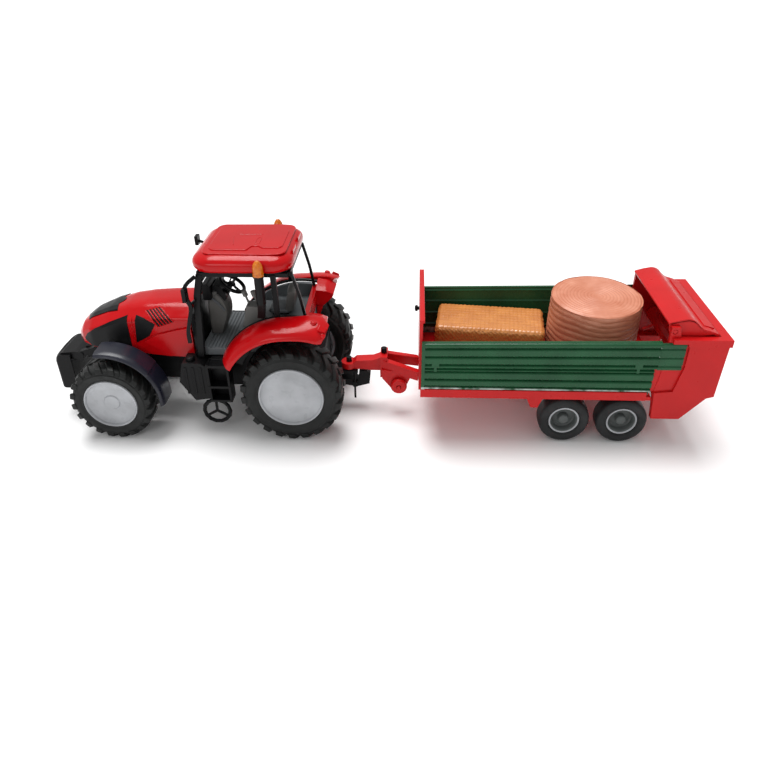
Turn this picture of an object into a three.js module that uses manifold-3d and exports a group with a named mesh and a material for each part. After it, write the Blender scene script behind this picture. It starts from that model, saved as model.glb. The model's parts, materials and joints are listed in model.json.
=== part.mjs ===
// Toy tractor with a steerable, oscillating front axle, hitched to a tandem-axle
// spreader trailer that carries two loose bales. Millimetres, +Z up.
// The tractor drives towards -X, so its left side is -Y. While modelling, X = 0 is
// the rear axle and Z = 0 is the ground; the finished group is then moved so that
// its origin is the middle of the whole toy's footprint.
import * as THREE from "three";
import { mergeVertices } from "three/addons/utils/BufferGeometryUtils.js";
import Module from "manifold-3d";

const wasm = await Module();
wasm.setup();

// ---------------------------------------------------------------- driving dimensions
const GAP = 0.3; // between pieces that touch on the real toy
const FIT = 0.35; // radial play of a shaft in its bore

const FRONT_END = -190;
const REAR_END = 303.4;

const REAR_WHEEL = { x: 0, radius: 38, rim: 24, inner: 26, outer: 53.5, shaft: 2 };
const FRONT_WHEEL = { x: -134.4, radius: 31, rim: 19.8, inner: 30.5, outer: 55.5, shaft: 1.8 };
const TRAILER_WHEEL = { radius: 18.6, rim: 11.4, inner: 34, outer: 48.8, shaft: 1.8 };
const TRAILER_AXLES = { trailer_front: 199.6, trailer_rear: 241.4 };

const PIVOT = { z: 33, radius: 1.8 }; // front axle oscillation pin
const KINGPIN = { y: 25, radius: 1.6, bottom: 23.6, top: 42 };
const TIE_ROD = { x: -123.4, bottom: 20.4, top: 23.2, slot: 0.9 };

const DECK_Z = 60; // top of the chassis under the cab
const FLOOR_Z = 66; // cab floor
const ARCH = { inner: 41, outer: 53.6, y: [30.3, 33], rear: 79 };
const FRONT_FENDER = { x: -135.6, radii: [38.2, 40], y: [31, 50.5], arc: [-6, 98] };
const ROOF = { x: [-66, 5], halfWidth: 36.7, bottom: 127, side: 134.6, top: 140.4, corner: 15 };

const BEACON = { x: -16.6, y: 40.9, radius: 3.8, bottom: 128.6, top: 139.6 };

const HITCH_PIN = { x: 38, radius: 2.1, top: 42.5 };
const EYE = { bottom: 34.2, top: 39 };
const BOLT = { x: 65.6, radius: 1.2 };
const BED = { x: [93.8, 258], halfWidth: 48.7, floor: 41, sill: 38, wallTop: 85, drop: 3 };
const FRONT_WALL = { x: [92.4, 94.8], top: 98 };
const HOUSING = { side: [46.2, 48.7], flange: 50.5, flangeZ: [85.3, 88.6] };
const FLAP_PIVOT = { x: 264.5, z: 93, radius: 1.5 };
const BEATER = { x: 282, z: 62, core: 6, tip: 14, shaft: 2, end: 46.9 };
const JOCKEY = { x: 77.5, z: 24, radius: 6.4, y: [-14.6, -10.6], pin: 1.4 };

// ---------------------------------------------------------------- solids from three.js shapes
const ONE_STEP = 1;
const MERGE_DISTANCE = 1e-4;

// A closed three.js geometry as a manifold-3d solid whose faces point outward.
function solid(geometry) {
  geometry.deleteAttribute("normal");
  geometry.deleteAttribute("uv");
  const merged = mergeVertices(geometry, MERGE_DISTANCE);
  const corners = merged.index.array;
  const faces = [];
  for (let i = 0; i < corners.length; i += 3) {
    const [a, b, c] = corners.slice(i, i + 3);
    if (a !== b && b !== c && c !== a) faces.push([a, b, c]);
  }
  const vertProperties = Float32Array.from(merged.attributes.position.array);
  const build = (list) =>
    new wasm.Manifold(
      new wasm.Mesh({ numProp: 3, vertProperties, triVerts: Uint32Array.from(list.flat()) }),
    );
  const made = build(faces);
  return made.volume() < 0 ? build(faces.map(([a, b, c]) => [a, c, b])) : made;
}

const join = (...solids) => solids.reduce((whole, next) => whole.add(next));
const cut = (whole, ...tools) => tools.reduce((left, tool) => left.subtract(tool), whole);
const sorted = (range) => range.sort((a, b) => a - b);
const middle = ([low, high]) => (low + high) / 2;
const span = ([low, high]) => high - low;

// A rectangular block from its lowest to its highest X, Y and Z.
function block(x, y, z) {
  const box = new THREE.BoxGeometry(span(x), span(y), span(z));
  return solid(box.translate(middle(x), middle(y), middle(z)));
}

function outline(points) {
  return points instanceof THREE.Shape
    ? points
    : new THREE.Shape(points.map(([u, v]) => new THREE.Vector2(u, v)));
}

function extruded(points, depth, curveSegments) {
  const settings = { depth, bevelEnabled: false, curveSegments, steps: ONE_STEP };
  return new THREE.ExtrudeGeometry(outline(points), settings);
}

// An outline in X and Z, extruded across the width from y[0] to y[1].
function slabY(points, y, curveSegments = 6) {
  const slab = extruded(points, span(y), curveSegments);
  return solid(slab.rotateX(Math.PI / 2).translate(0, y[1], 0));
}

// An outline in X and Y, extruded upward from z[0] to z[1].
function slabZ(points, z, curveSegments = 6) {
  return solid(extruded(points, span(z), curveSegments).translate(0, 0, z[0]));
}

// An outline in Y and Z, extruded lengthways from x[0] to x[1].
function slabX(points, x, curveSegments = 6) {
  const turn = new THREE.Matrix4().makeBasis(
    new THREE.Vector3(0, 1, 0),
    new THREE.Vector3(0, 0, 1),
    new THREE.Vector3(1, 0, 0),
  );
  return solid(extruded(points, span(x), curveSegments).applyMatrix4(turn).translate(x[0], 0, 0));
}

// A round bar between two points.
function rod(from, to, radius, sides = 8) {
  const start = new THREE.Vector3(...from);
  const end = new THREE.Vector3(...to);
  const along = end.clone().sub(start);
  const bar = new THREE.CylinderGeometry(radius, radius, along.length(), sides);
  const turn = new THREE.Quaternion().setFromUnitVectors(
    new THREE.Vector3(0, 1, 0),
    along.normalize(),
  );
  bar.applyQuaternion(turn);
  return solid(bar.translate(...start.add(end).multiplyScalar(0.5).toArray()));
}

// A square bar of the given width along a bent path.
function bentBar(path, width, steps = 12) {
  const half = width / 2;
  const section = outline([
    [-half, -half],
    [half, -half],
    [half, half],
    [-half, half],
  ]);
  const curve = new THREE.CatmullRomCurve3(path.map((point) => new THREE.Vector3(...point)));
  return solid(new THREE.ExtrudeGeometry(section, { steps, extrudePath: curve }));
}

// A profile of [radius, y] points turned about an axis along Y through (x, z),
// with a flat side at the bottom.
function turnedY(profile, x, z, sides) {
  const points = profile.map(([radius, y]) => new THREE.Vector2(radius, y));
  const turned = new THREE.LatheGeometry(points, sides, Math.PI / sides);
  return solid(turned.translate(x, 0, z));
}

// A profile of [radius, z] points turned about an upright axis through (x, y).
function turnedZ(profile, x, y, sides) {
  const points = profile.map(([radius, z]) => new THREE.Vector2(radius, z));
  return solid(new THREE.LatheGeometry(points, sides).rotateX(Math.PI / 2).translate(x, y, 0));
}

// A closed skin over rings of points; each ring is a list of [x, y, z], and every
// ring has as many points as the first.
function skin(rings, flatCoordinates) {
  const count = rings[0].length;
  const positions = rings.flat(2);
  const faces = [];
  for (let r = 0; r + 1 < rings.length; r++) {
    for (let i = 0; i < count; i++) {
      const a = r * count + i;
      const b = r * count + ((i + 1) % count);
      faces.push(a, b, b + count, a, b + count, a + count);
    }
  }
  [0, rings.length - 1].forEach((r) => {
    const flat = rings[r].map((point) => new THREE.Vector2(...flatCoordinates(point)));
    THREE.ShapeUtils.triangulateShape(flat, []).forEach(([a, b, c]) => {
      const corners = r === 0 ? [a, c, b] : [a, b, c];
      faces.push(...corners.map((corner) => r * count + corner));
    });
  });
  const geometry = new THREE.BufferGeometry();
  geometry.setAttribute("position", new THREE.Float32BufferAttribute(positions, 3));
  return solid(geometry.setIndex(faces));
}

// ---------------------------------------------------------------- materials and scene graph
function plastic(color, roughness) {
  return new THREE.MeshStandardMaterial({ color, roughness, metalness: 0 });
}

const tractorRed = plastic(0xc2141f, 0.3);
const trailerRed = plastic(0xb82a30, 0.45);
const blackPlastic = plastic(0x1b1b1d, 0.5);
const fenderBlack = plastic(0x1e1f28, 0.3);
const tyreBlack = plastic(0x191919, 0.75);
const trailerTyre = plastic(0x37393a, 0.7);
const rimGrey = plastic(0xb9bcc2, 0.45);
const trailerRim = plastic(0x6e7173, 0.45);
const cabGrey = plastic(0x8d9294, 0.6);
const darkGrey = plastic(0x3c3d3b, 0.6);
const amber = plastic(0xe07a10, 0.25);
const trailerGreen = plastic(0x1f4a33, 0.4);
const strawOrange = plastic(0xc77a3a, 0.5);
const haySalmon = plastic(0xd08366, 0.6);
const axleSteel = new THREE.MeshStandardMaterial({
  color: 0x9a9da1,
  roughness: 0.35,
  metalness: 1,
});

const toy = new THREE.Group();
toy.position.x = -(FRONT_END + REAR_END) / 2;

function geometryOf(shape) {
  const mesh = shape.getMesh();
  const geometry = new THREE.BufferGeometry();
  geometry.setAttribute("position", new THREE.BufferAttribute(mesh.vertProperties, 3));
  geometry.setIndex(new THREE.BufferAttribute(mesh.triVerts, 1));
  geometry.computeVertexNormals();
  return geometry;
}

function place(name, shape, material) {
  const mesh = new THREE.Mesh(geometryOf(shape), material);
  mesh.name = name;
  toy.add(mesh);
  return mesh;
}

// A piece drawn on the +Y side (the tractor's right) and its mirror image.
function placePair(name, shape, material) {
  place(name + "_right", shape, material);
  place(name + "_left", shape, material).scale.y = -1;
}

// ---------------------------------------------------------------- wheels
function tyre(wheel, x, sides) {
  const { radius, rim, inner, outer } = wheel;
  const tread = radius / Math.cos(Math.PI / sides);
  const shoulder = (radius - rim) * 0.12;
  const bead = rim + GAP;
  const profile = [
    [bead, inner + 1.5],
    [tread - 3 * shoulder, inner],
    [tread, inner + 2 * shoulder],
    [tread, outer - 2 * shoulder],
    [tread - 3 * shoulder, outer],
    [bead, outer - 1],
    [bead, inner + 1.5],
  ];
  return turnedY(profile, x, radius, sides);
}

// How far from the middle a rim's dished face lies, and the blind end of its bore.
const rimFace = ({ outer, rim: edge }) => outer - 0.1 * edge - 1;
const hubFace = (wheel) => rimFace(wheel) - 1.8;

// A dished rim, open on the inside, whose hub has a blind bore for the shaft.
function rim(wheel, x, sides) {
  const { rim: edge, inner, outer, shaft, radius } = wheel;
  const face = rimFace(wheel);
  const bore = shaft + GAP;
  const hub = shaft + 0.12 * edge + 0.6;
  const profile = [
    [0, face],
    [edge - 3, face - 0.4],
    [edge - 1.6, outer - 0.7],
    [edge, outer - 0.7],
    [edge, inner + 2],
    [edge - 2, inner + 2],
    [edge - 3.2, face - 2.6],
    [hub, face - 2.6],
    [hub, inner + 1],
    [bore, inner + 1],
    [bore, hubFace(wheel)],
    [0, hubFace(wheel)],
  ];
  return turnedY(profile, x, radius, sides);
}

function shaftBetweenRims(wheel, x) {
  const end = hubFace(wheel) - GAP;
  return rod([x, -end, wheel.radius], [x, end, wheel.radius], wheel.shaft, 10);
}

function bore(x, z, radius, y) {
  return rod([x, y[0], z], [x, y[1], z], radius + FIT, 8);
}

// ---------------------------------------------------------------- tractor chassis
// A band that follows the rear wheel, between two angles in degrees from +X.
function wheelBand([innerRadius, outerRadius], angles, centre) {
  const [from, to] = angles.map(THREE.MathUtils.degToRad);
  const band = new THREE.Shape();
  band.absarc(centre.x, centre.z, outerRadius, from, to, false);
  band.absarc(centre.x, centre.z, innerRadius, to, from, true);
  return band;
}

const REAR_CENTRE = { x: REAR_WHEEL.x, z: REAR_WHEEL.radius };
const FRONT_CENTRE = { x: FRONT_WHEEL.x, z: FRONT_WHEEL.radius };

function chassis() {
  const spine = block([-166, -60], [-10, 10], [45, 55]);
  const engine = block([-116, -59], [-14, 14], [30, 56]);
  const gearbox = block([-60, 22], [-17, 17], [26, DECK_Z]);
  const deck = block([-60.6, -38], [-33, 33], [55, DECK_Z]);
  const trumpets = rod([0, -24.8, 38], [0, 24.8, 38], 7, 12);
  const lugs = [-146.5, -127.4].map((x) => block([x, x + 4], [-5.5, 5.5], [28.6, 46]));
  const arches = [1, -1].map((side) => {
    const y = sorted(ARCH.y.map((value) => side * value));
    return slabY(wheelBand([ARCH.inner, ARCH.outer], [ARCH.rear, 158], REAR_CENTRE), y, 8);
  });
  const body = join(spine, engine, gearbox, deck, trumpets, ...lugs, ...arches);
  return cut(
    body,
    bore(0, 38, REAR_WHEEL.shaft, [-30, 30]),
    rod([-150, 0, PIVOT.z], [-120, 0, PIVOT.z], PIVOT.radius + FIT, 8),
  );
}

// The weight slab across the nose, its carrier and the two arms back to the chassis.
function frontWeightBlock() {
  const half = 18;
  const plan = outline([
    [-176.2, -half],
    [-187.6, -half],
    [-190, 4 - half],
    [-190, half - 4],
    [-187.6, half],
    [-176.2, half],
  ]);
  const carrier = [
    [-187.4, 48.4],
    [-167.4, 44.6],
    [-166.4, 51.6],
    [-172, 53],
    [-186.6, 51.4],
  ];
  const arm = [
    [-174, 51],
    [-158, 56],
    [-152, 60.5],
    [-152, 57],
    [-157, 52],
    [-172, 46.5],
  ];
  const arms = [1, -1].map((s) => slabY(arm, [s * 12.5 - 2.5, s * 12.5 + 2.5]));
  return join(slabZ(plan, [21, 50.4]), slabY(carrier, [-15.6, 15.6]), ...arms);
}

// ---------------------------------------------------------------- bonnet
const HOOD = {
  stations: [
    // x, lower edge, side line, top, half width at the side line
    { x: -167.4, low: 63, side: 67, top: 70.5, half: 9 },
    { x: -163, low: 61, side: 70, top: 76, half: 14.5 },
    { x: -154, low: 60, side: 74.5, top: 82, half: 19.5 },
    { x: -139.3, low: 60, side: 80, top: 88, half: 22.5 },
    { x: -124, low: 59, side: 84, top: 92.4, half: 23.6 },
    { x: -110.4, low: 57, side: 86, top: 94.4, half: 24.4 },
    { x: -94, low: 55.5, side: 87, top: 95.4, half: 25 },
    { x: -74, low: 58, side: 87.4, top: 95.8, half: 25.6 },
  ],
};

// The bonnet's section at one station, shrunk inward by the wall thickness.
function hoodRing({ x, low, side, top, half }, wall, dropped) {
  const crown = half * 0.58;
  const right = [
    [half - wall, low - dropped],
    [half - wall, side - wall],
    [crown, top - wall - 1.3],
    [crown * 0.45, top - wall - 0.2],
  ];
  const left = right.map(([y, z]) => [-y, z]).reverse();
  return [...right, ...left].map(([y, z]) => [x, y, z]);
}

function hood() {
  const acrossAndUp = ([, y, z]) => [y, z];
  const outer = skin(
    HOOD.stations.map((station) => hoodRing(station, 0, 0)),
    acrossAndUp,
  );
  const inside = HOOD.stations.slice(1).map((station, index, all) => {
    const last = index === all.length - 1;
    return hoodRing({ ...station, x: station.x + (last ? 3 : 0) }, 2, 3);
  });
  return cut(outer, skin(inside, acrossAndUp));
}

function grilleInsert() {
  const floor = block([-151.6, -104], [-15, 15], [57.5, 60.5]);
  const radiator = block([-151.6, -148], [-15, 15], [60, 72]);
  const screens = [1, -1].map((s) => {
    const panel = [
      [-151.6, 57.5],
      [-104, 57.5],
      [-104, 80],
      [-120, 78.5],
      [-151.6, 68],
    ];
    return slabY(panel, [s * 15 - 1, s * 15 + 1]);
  });
  return join(floor, radiator, ...screens);
}

// ---------------------------------------------------------------- cab
function cabTub() {
  const floor = block([-67.5, -38.5], [-29.8, 29.8], [DECK_Z + GAP, FLOOR_Z]);
  const platform = block([-39, 11.8], [-24.6, 24.6], [DECK_Z + GAP, 79]);
  const shelf = block([-20, 11.8], [-29.8, 29.8], [78, 82.2]);
  const rearPanel = block([9, 11.8], [-29.8, 29.8], [80, 90]);
  const sides = [1, -1].map((s) => {
    const panel = wheelBand([ARCH.inner, ARCH.outer + 1], [ARCH.rear, 146], REAR_CENTRE);
    return slabY(panel, [s * 28.6 - 1.2, s * 28.6 + 1.2], 6);
  });
  return join(floor, platform, shelf, rearPanel, ...sides);
}

const STEERING = { centre: [-46.8, 0, 104.2], radius: 9.6, tube: 1.4, tilt: 32 };

// A point on the steering column's axis, at a distance from the wheel's centre.
function alongColumn(distance) {
  const [x, y, z] = STEERING.centre;
  const tilt = THREE.MathUtils.degToRad(STEERING.tilt);
  return [x + distance * Math.sin(tilt), y, z + distance * Math.cos(tilt)];
}

function steeringConsole() {
  const cowl = outline([
    [-66.5, FLOOR_Z + GAP],
    [-56, FLOOR_Z + GAP],
    [-50.5, 80],
    [-50, 93],
    [-56, 99.5],
    [-60.4, 102.5],
    [-66.5, 102.5],
  ]);
  const dashboard = block([-66.5, -60.4], [-12, 12], [96, 109]);
  const column = rod(alongColumn(-13), alongColumn(-1.4), 1.5, 8);
  return join(slabY(cowl, [-8, 8]), dashboard, column);
}

// Rim, hub and three spokes, lying flat until the wheel is tilted to its column.
function steeringWheel() {
  const { radius, tube } = STEERING;
  const ring = solid(new THREE.TorusGeometry(radius, tube, 6, 18));
  const spokes = [90, 210, 330].map((degrees) => {
    const angle = THREE.MathUtils.degToRad(degrees);
    return rod([0, 0, 0], [radius * Math.cos(angle), radius * Math.sin(angle), 0], 0.9, 6);
  });
  return join(ring, ...spokes, rod([0, 0, -1], [0, 0, 1.2], 2.4, 10));
}

function driverSeat() {
  const pedestal = block([-17, -5], [-7, 7], [82.2 + GAP, 84.5]);
  const cushion = block([-20, -3.5], [-9, 9], [84, 88]);
  const back = slabY(
    [
      [-5, 86],
      [-1, 86],
      [2, 104],
      [-1.5, 104.5],
    ],
    [-8.5, 8.5],
  );
  return join(pedestal, cushion, back);
}

function sideConsole() {
  const cabinet = slabY(
    [
      [-37, 79 + GAP],
      [-22, 79 + GAP],
      [-21, 95],
      [-33, 96],
    ],
    [-21, -11],
  );
  const levers = [-31.5, -25].map((x) =>
    join(
      rod([x, -16, 95], [x - 2.4, -16, 103], 0.9, 6),
      rod([x - 2, -16, 102], [x - 3.2, -16, 106], 1.9, 8),
    ),
  );
  return join(cabinet, ...levers);
}

function cabFrame() {
  const pillarTop = ROOF.bottom - GAP;
  const pair = (path, width, steps) =>
    [1, -1].map((s) => bentBar(path.map(([x, y, z]) => [x, s * y, z]), width, steps));
  const frontPillars = pair(
    [
      [-67.4, 32.6, DECK_Z + 1],
      [-65, 32.4, 88],
      [-64, 32, 106],
      [-60, 30.6, pillarTop - 1.4],
    ],
    4.4,
    8,
  );
  const middlePillars = pair(
    [
      [-8.6, 31.2, 92.8],
      [-8.4, 31.4, 108],
      [-9, 31.6, pillarTop - 1],
    ],
    3.6,
    4,
  );
  const rearPillars = pair(
    [
      [10.4, 26, 91.6],
      [7.6, 26.6, 108],
      [3, 27.4, pillarTop - 1],
    ],
    2,
    4,
  );
  const bulkhead = block([-71.4, -68.6], [-31.4, 31.4], [DECK_Z + GAP, 95]);
  const cowl = block([-71.4, -67.8], [-33, 33], [DECK_Z + GAP, 64]);
  const header = block([-62.4, -59.4], [-30.6, 30.6], [118.4, pillarTop]);
  const rearBar = block([0.4, 3], [-30, 30], [pillarTop - 3, pillarTop]);
  const rails = [1, -1].map((s) =>
    block([-61, 1.6], [s * 30.8 - 1.6, s * 30.8 + 1.6], [pillarTop - 3, pillarTop]),
  );
  const pillars = [...frontPillars, ...middlePillars, ...rearPillars];
  return join(...pillars, bulkhead, cowl, header, rearBar, ...rails);
}

// One level of the roof: a rectangle with rounded corners, shrunk by an inset.
function roofRing(z, inset) {
  const corner = ROOF.corner - inset * 0.4;
  const steps = 4;
  const centreX = [ROOF.x[1] - inset - corner, ROOF.x[0] + inset + corner];
  const centreY = ROOF.halfWidth - inset - corner;
  const quarters = [
    [centreX[0], centreY, 0],
    [centreX[1], centreY, 90],
    [centreX[1], -centreY, 180],
    [centreX[0], -centreY, 270],
  ];
  return quarters.flatMap(([x, y, start]) =>
    Array.from({ length: steps + 1 }, (_, i) => {
      const angle = THREE.MathUtils.degToRad(start + (90 * i) / steps);
      return [x + corner * Math.cos(angle), y + corner * Math.sin(angle), z];
    }),
  );
}

function cabRoof() {
  const levels = [
    [ROOF.bottom, 2.5],
    [ROOF.bottom + 3, 0],
    [ROOF.side, 0],
    [ROOF.side + 3.4, 3.2],
    [ROOF.top, 11],
  ];
  return skin(
    levels.map(([z, inset]) => roofRing(z, inset)),
    ([x, y]) => [x, y],
  );
}

// ---------------------------------------------------------------- fenders, lamps, mirrors, steps
// The rear fender's section, from the inner edge beside the cab to the outer lip,
// as [radius from the axle, y]; lift raises its inner half towards the tail.
function fenderSection(lift) {
  return [
    [54.2, 33.4],
    [56.6 + lift, 33.4],
    [56.2 + lift, 40],
    [54.4 + lift * 0.8, 47],
    [52 + lift * 0.6, 52.4],
    [49.6 + lift * 0.4, 54.2],
    [47.6 + lift * 0.4, 54.2],
    [47.6 + lift * 0.4, 52.4],
    [50.2 + lift * 0.4, 50.6],
    [52.4 + lift * 0.5, 45.6],
    [54 + lift * 0.4, 39],
  ];
}

// The fender's arc, and the box-shaped return that closes it behind the cab.
function rearFender() {
  const steps = 14;
  const angles = [151, 61.5];
  const rings = Array.from({ length: steps + 1 }, (_, i) => {
    const degrees = angles[0] + ((angles[1] - angles[0]) * i) / steps;
    const angle = THREE.MathUtils.degToRad(degrees);
    const lift = 5.5 * THREE.MathUtils.smoothstep(-degrees, -92, -64);
    return fenderSection(lift).map(([radius, y]) => [
      REAR_CENTRE.x + radius * Math.cos(angle),
      y,
      REAR_CENTRE.z + radius * Math.sin(angle),
    ]);
  });
  const radiusAndY = ([x, y, z]) => [Math.hypot(x - REAR_CENTRE.x, z - REAR_CENTRE.z), y];
  const behindCab = slabY(
    [
      [12.4, 77],
      [17.4, 77],
      [24.6, 84],
      [26.6, 88],
      [21, 90.4],
      [12.4, 91.6],
    ],
    [19, 34.4],
  );
  const foot = slabY(
    [
      [12.4, 70],
      [14.6, 70],
      [17.4, 78],
      [12.4, 78],
    ],
    [19, 25.2],
  );
  return join(skin(rings, radiusAndY), behindCab, foot);
}

// The front fender: a sheet over and behind the wheel, with a lip along its outer edge.
function frontFender() {
  const { x, radii, y, arc } = FRONT_FENDER;
  const centre = { x, z: FRONT_WHEEL.radius };
  const lipWidth = 1.4;
  const sheet = slabY(wheelBand(radii, arc, centre), y, 12);
  const lip = slabY(wheelBand([radii[0] - lipWidth, radii[1]], arc, centre), [y[1] - lipWidth, y[1]], 12);
  return join(sheet, lip, block([-136.4, -132.4], [27.2, 32.2], [66.3, 70.2]));
}

function beaconPost() {
  const { x, y, bottom } = BEACON;
  const post = rod([x, y, 108], [x, y, bottom - GAP], 3.3, 10);
  const foot = bentBar(
    [
      [x, y, 112],
      [x - 0.8, y - 3, 103],
      [x - 2.4, y - 5.9, 95.6],
    ],
    5,
    4,
  );
  return join(post, foot);
}

function beaconLens() {
  const { x, y, radius, bottom, top } = BEACON;
  const profile = [
    [0, bottom],
    [radius, bottom],
    [radius, top - 4.6],
    [radius * 0.82, top - 1.8],
    [radius * 0.46, top - 0.4],
    [0, top],
  ];
  return turnedZ(profile, x, y, 12);
}

// A mirror on its bowed arm, which runs down the side of the cab as a rail.
function mirror(glass, link) {
  const arm = bentBar(
    [
      [-62, 34.8, 125.2],
      [-68.8, 38.6, 119.5],
      [-69.8, 39, 111.5],
      [-67.4, 38.4, 104],
      [-70, 38.2, 93],
      [-72.6, 37.6, 83],
      [-73.2, 35.8, 74],
    ],
    2.6,
    18,
  );
  return join(arm, block(...glass), rod(...link, 1.1, 8));
}

// The left mirror stands across the airflow; the right one is swung forward on its link.
function mirrorLeft() {
  const glass = [[-70.8, -68.2], [36.6, 43.4], [109, 118.6]];
  return mirror(glass, [[-67.6, 38.4, 105.4], [-64.8, 35.4, 107]]);
}

function mirrorRight() {
  const glass = [[-82, -79.4], [35.6, 42], [120, 127]];
  return mirror(glass, [[-68.6, 38.5, 118.6], [-80.7, 38.8, 123]]);
}

function steps() {
  const rails = [-62.4, -47.6].map((x) => block([x, x + 1.8], [35, 44.5], [28, 60]));
  const treads = [28, 40, 57.5].map((z) => block([-62.4, -45.8], [34, 45], [z, z + 2]));
  const back = block([-62.4, -45.8], [34, 35.6], [28, 60]);
  const tank = slabY(
    [
      [-84, 44],
      [-80, 60],
      [-66, 60],
      [-61, 56],
      [-61, 30],
      [-74, 28],
    ],
    [26.2, 43],
  );
  const bracket = block([-76, -62], [14.3, 27], [44, 53]);
  return join(...rails, ...treads, back, tank, bracket);
}

// The left steps also carry a spoked ring below the lowest tread.
function stepRing() {
  const centre = [-59.3, 42, 18.6];
  const ringRadius = 9.8;
  const tube = 1.6;
  const ring = new THREE.TorusGeometry(ringRadius, tube, 6, 14).rotateX(Math.PI / 2);
  const spokes = [90, 210, 330].map((degrees) => {
    const angle = THREE.MathUtils.degToRad(degrees);
    const [x, y, z] = centre;
    const end = [x + ringRadius * Math.cos(angle), y, z + ringRadius * Math.sin(angle)];
    return rod(centre, end, 1.1, 6);
  });
  return join(solid(ring.translate(...centre)), ...spokes);
}

function towHitch() {
  const bracket = block([22 + GAP, 31], [-8, 8], [20, 33.6]);
  const plate = block([30, 45], [-6.5, 6.5], [30.6, 33.6]);
  const pin = rod([HITCH_PIN.x, 0, 33], [HITCH_PIN.x, 0, HITCH_PIN.top], HITCH_PIN.radius, 12);
  const jaw = slabY(
    [
      [30, 20],
      [44, 17.6],
      [54, 20.5],
      [55, 30],
      [52, 32.4],
      [46, 31.6],
      [45.6, 24],
      [30, 24.6],
    ],
    [-4, 4],
  );
  const dropPin = rod([42.6, -6, 8.4], [42.6, -6, 32], 0.9, 6);
  return join(bracket, plate, pin, jaw, block([41, 44.4], [-6.8, -3], [19, 23]), dropPin);
}

// ---------------------------------------------------------------- front axle
function frontAxleBeam() {
  const x = FRONT_WHEEL.x;
  const beam = slabX(
    [
      [-20.4, 28],
      [-6, 27],
      [6, 27],
      [20.4, 28],
      [20.4, 39],
      [6, 40],
      [-6, 40],
      [-20.4, 39],
    ],
    [-141, -128.6],
  );
  const yokes = [1, -1].map((s) => {
    const y = sorted([s * 19, s * 29]);
    const plates = join(
      block([x - 4, x + 4], y, [39, 42.2]),
      block([x - 4, x + 4], y, [23.4, 26.6]),
      block([x - 4, x + 4], sorted([s * 19, s * 20.4]), [23.4, 42.2]),
    );
    const fenderArm = block([x - 2, x + 2], sorted([s * 27.2, s * 28.9]), [39, 66]);
    return join(plates, fenderArm);
  });
  const whole = join(beam, ...yokes);
  const kingpinBores = [1, -1].map((s) =>
    rod([x, s * KINGPIN.y, 20], [x, s * KINGPIN.y, 46], KINGPIN.radius + FIT, 8),
  );
  return cut(
    whole,
    rod([-150, 0, PIVOT.z], [-120, 0, PIVOT.z], PIVOT.radius + FIT, 8),
    ...kingpinBores,
  );
}

function steeringKnuckle() {
  const { x, radius, shaft } = FRONT_WHEEL;
  const { y, bottom, top } = KINGPIN;
  const stubEnd = hubFace(FRONT_WHEEL) - GAP;
  const body = block([x - 3.4, x + 3.4], [y - 3.6, y + 3.4], [27.1, 38.5]);
  const kingpin = rod([x, y, bottom], [x, y, top], KINGPIN.radius, 12);
  const stub = rod([x, y, radius], [x, stubEnd, radius], shaft, 10);
  const arm = block([x, TIE_ROD.x + 2], [y - 3, y + 0.4], [27.1, 29.6]);
  const armPin = rod([TIE_ROD.x, y - 1.5, TIE_ROD.bottom], [TIE_ROD.x, y - 1.5, 29], 1.1, 10);
  return join(body, kingpin, stub, arm, armPin);
}

function tieRod() {
  const { x, bottom, top, slot } = TIE_ROD;
  const y = KINGPIN.y - 1.5;
  const bar = block([x - 3.4, x + 3.4], [-y - 3, y + 3], [bottom, top]);
  const slots = [1, -1].map((s) =>
    block([x - 1.1 - slot, x + 1.1 + slot], [s * y - 1.45, s * y + 1.45], [bottom - 1, top + 1]),
  );
  return cut(bar, ...slots);
}

// ---------------------------------------------------------------- trailer
function trailerBed() {
  const { x, halfWidth, floor, sill } = BED;
  const plate = block(x, [-halfWidth + 0.3, halfWidth - 0.3], [sill, floor]);
  const sills = [1, -1].map((s) =>
    block([x[0], 254.5], [s * 47.4 - 1.3, s * 47.4 + 1.3], [sill, 44.7]),
  );
  const rails = [1, -1].map((s) => block([108, 256], [s * 22 - 3, s * 22 + 3], [29, 39]));
  const tabs = [1, -1].map((s) =>
    slabY(
      [
        [170, 39],
        [182.6, 39],
        [179, 30],
        [174, 30],
      ],
      [s * 46.6 - 1.2, s * 46.6 + 1.2],
    ),
  );
  const hangers = [1, -1].flatMap((s) =>
    Object.values(TRAILER_AXLES).map((axle) =>
      slabY(
        [
          [axle - 14, 31],
          [axle - 5, 12.6],
          [axle + 5, 12.6],
          [axle + 14, 31],
        ],
        [s * 27 - 2, s * 27 + 2],
      ),
    ),
  );
  const tongueSocket = block([x[0] - 0.2, 112], [-16, 16], [29.6, 39]);
  const frontBeam = block([x[0] - 0.2, 97], [-31, 31], [35, 39]);
  const bores = Object.values(TRAILER_AXLES).map((axle) =>
    bore(axle, TRAILER_WHEEL.radius, TRAILER_WHEEL.shaft, [-32, 32]),
  );
  const hangerBridge = [1, -1].map((s) => block([180, 256], [s * 26 - 3, s * 26 + 3], [29, 39]));
  const frame = join(plate, tongueSocket, frontBeam, ...sills, ...rails, ...hangerBridge);
  return cut(join(frame, ...tabs, ...hangers), ...bores);
}

function trailerFrontWall() {
  const { x, top } = FRONT_WALL;
  const wall = block(x, [-44, 44], [BED.floor + GAP, top]);
  const rail = block([x[0], x[1] + 1.2], [-44, 44], [top - 2.4, top]);
  return join(wall, rail);
}

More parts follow.
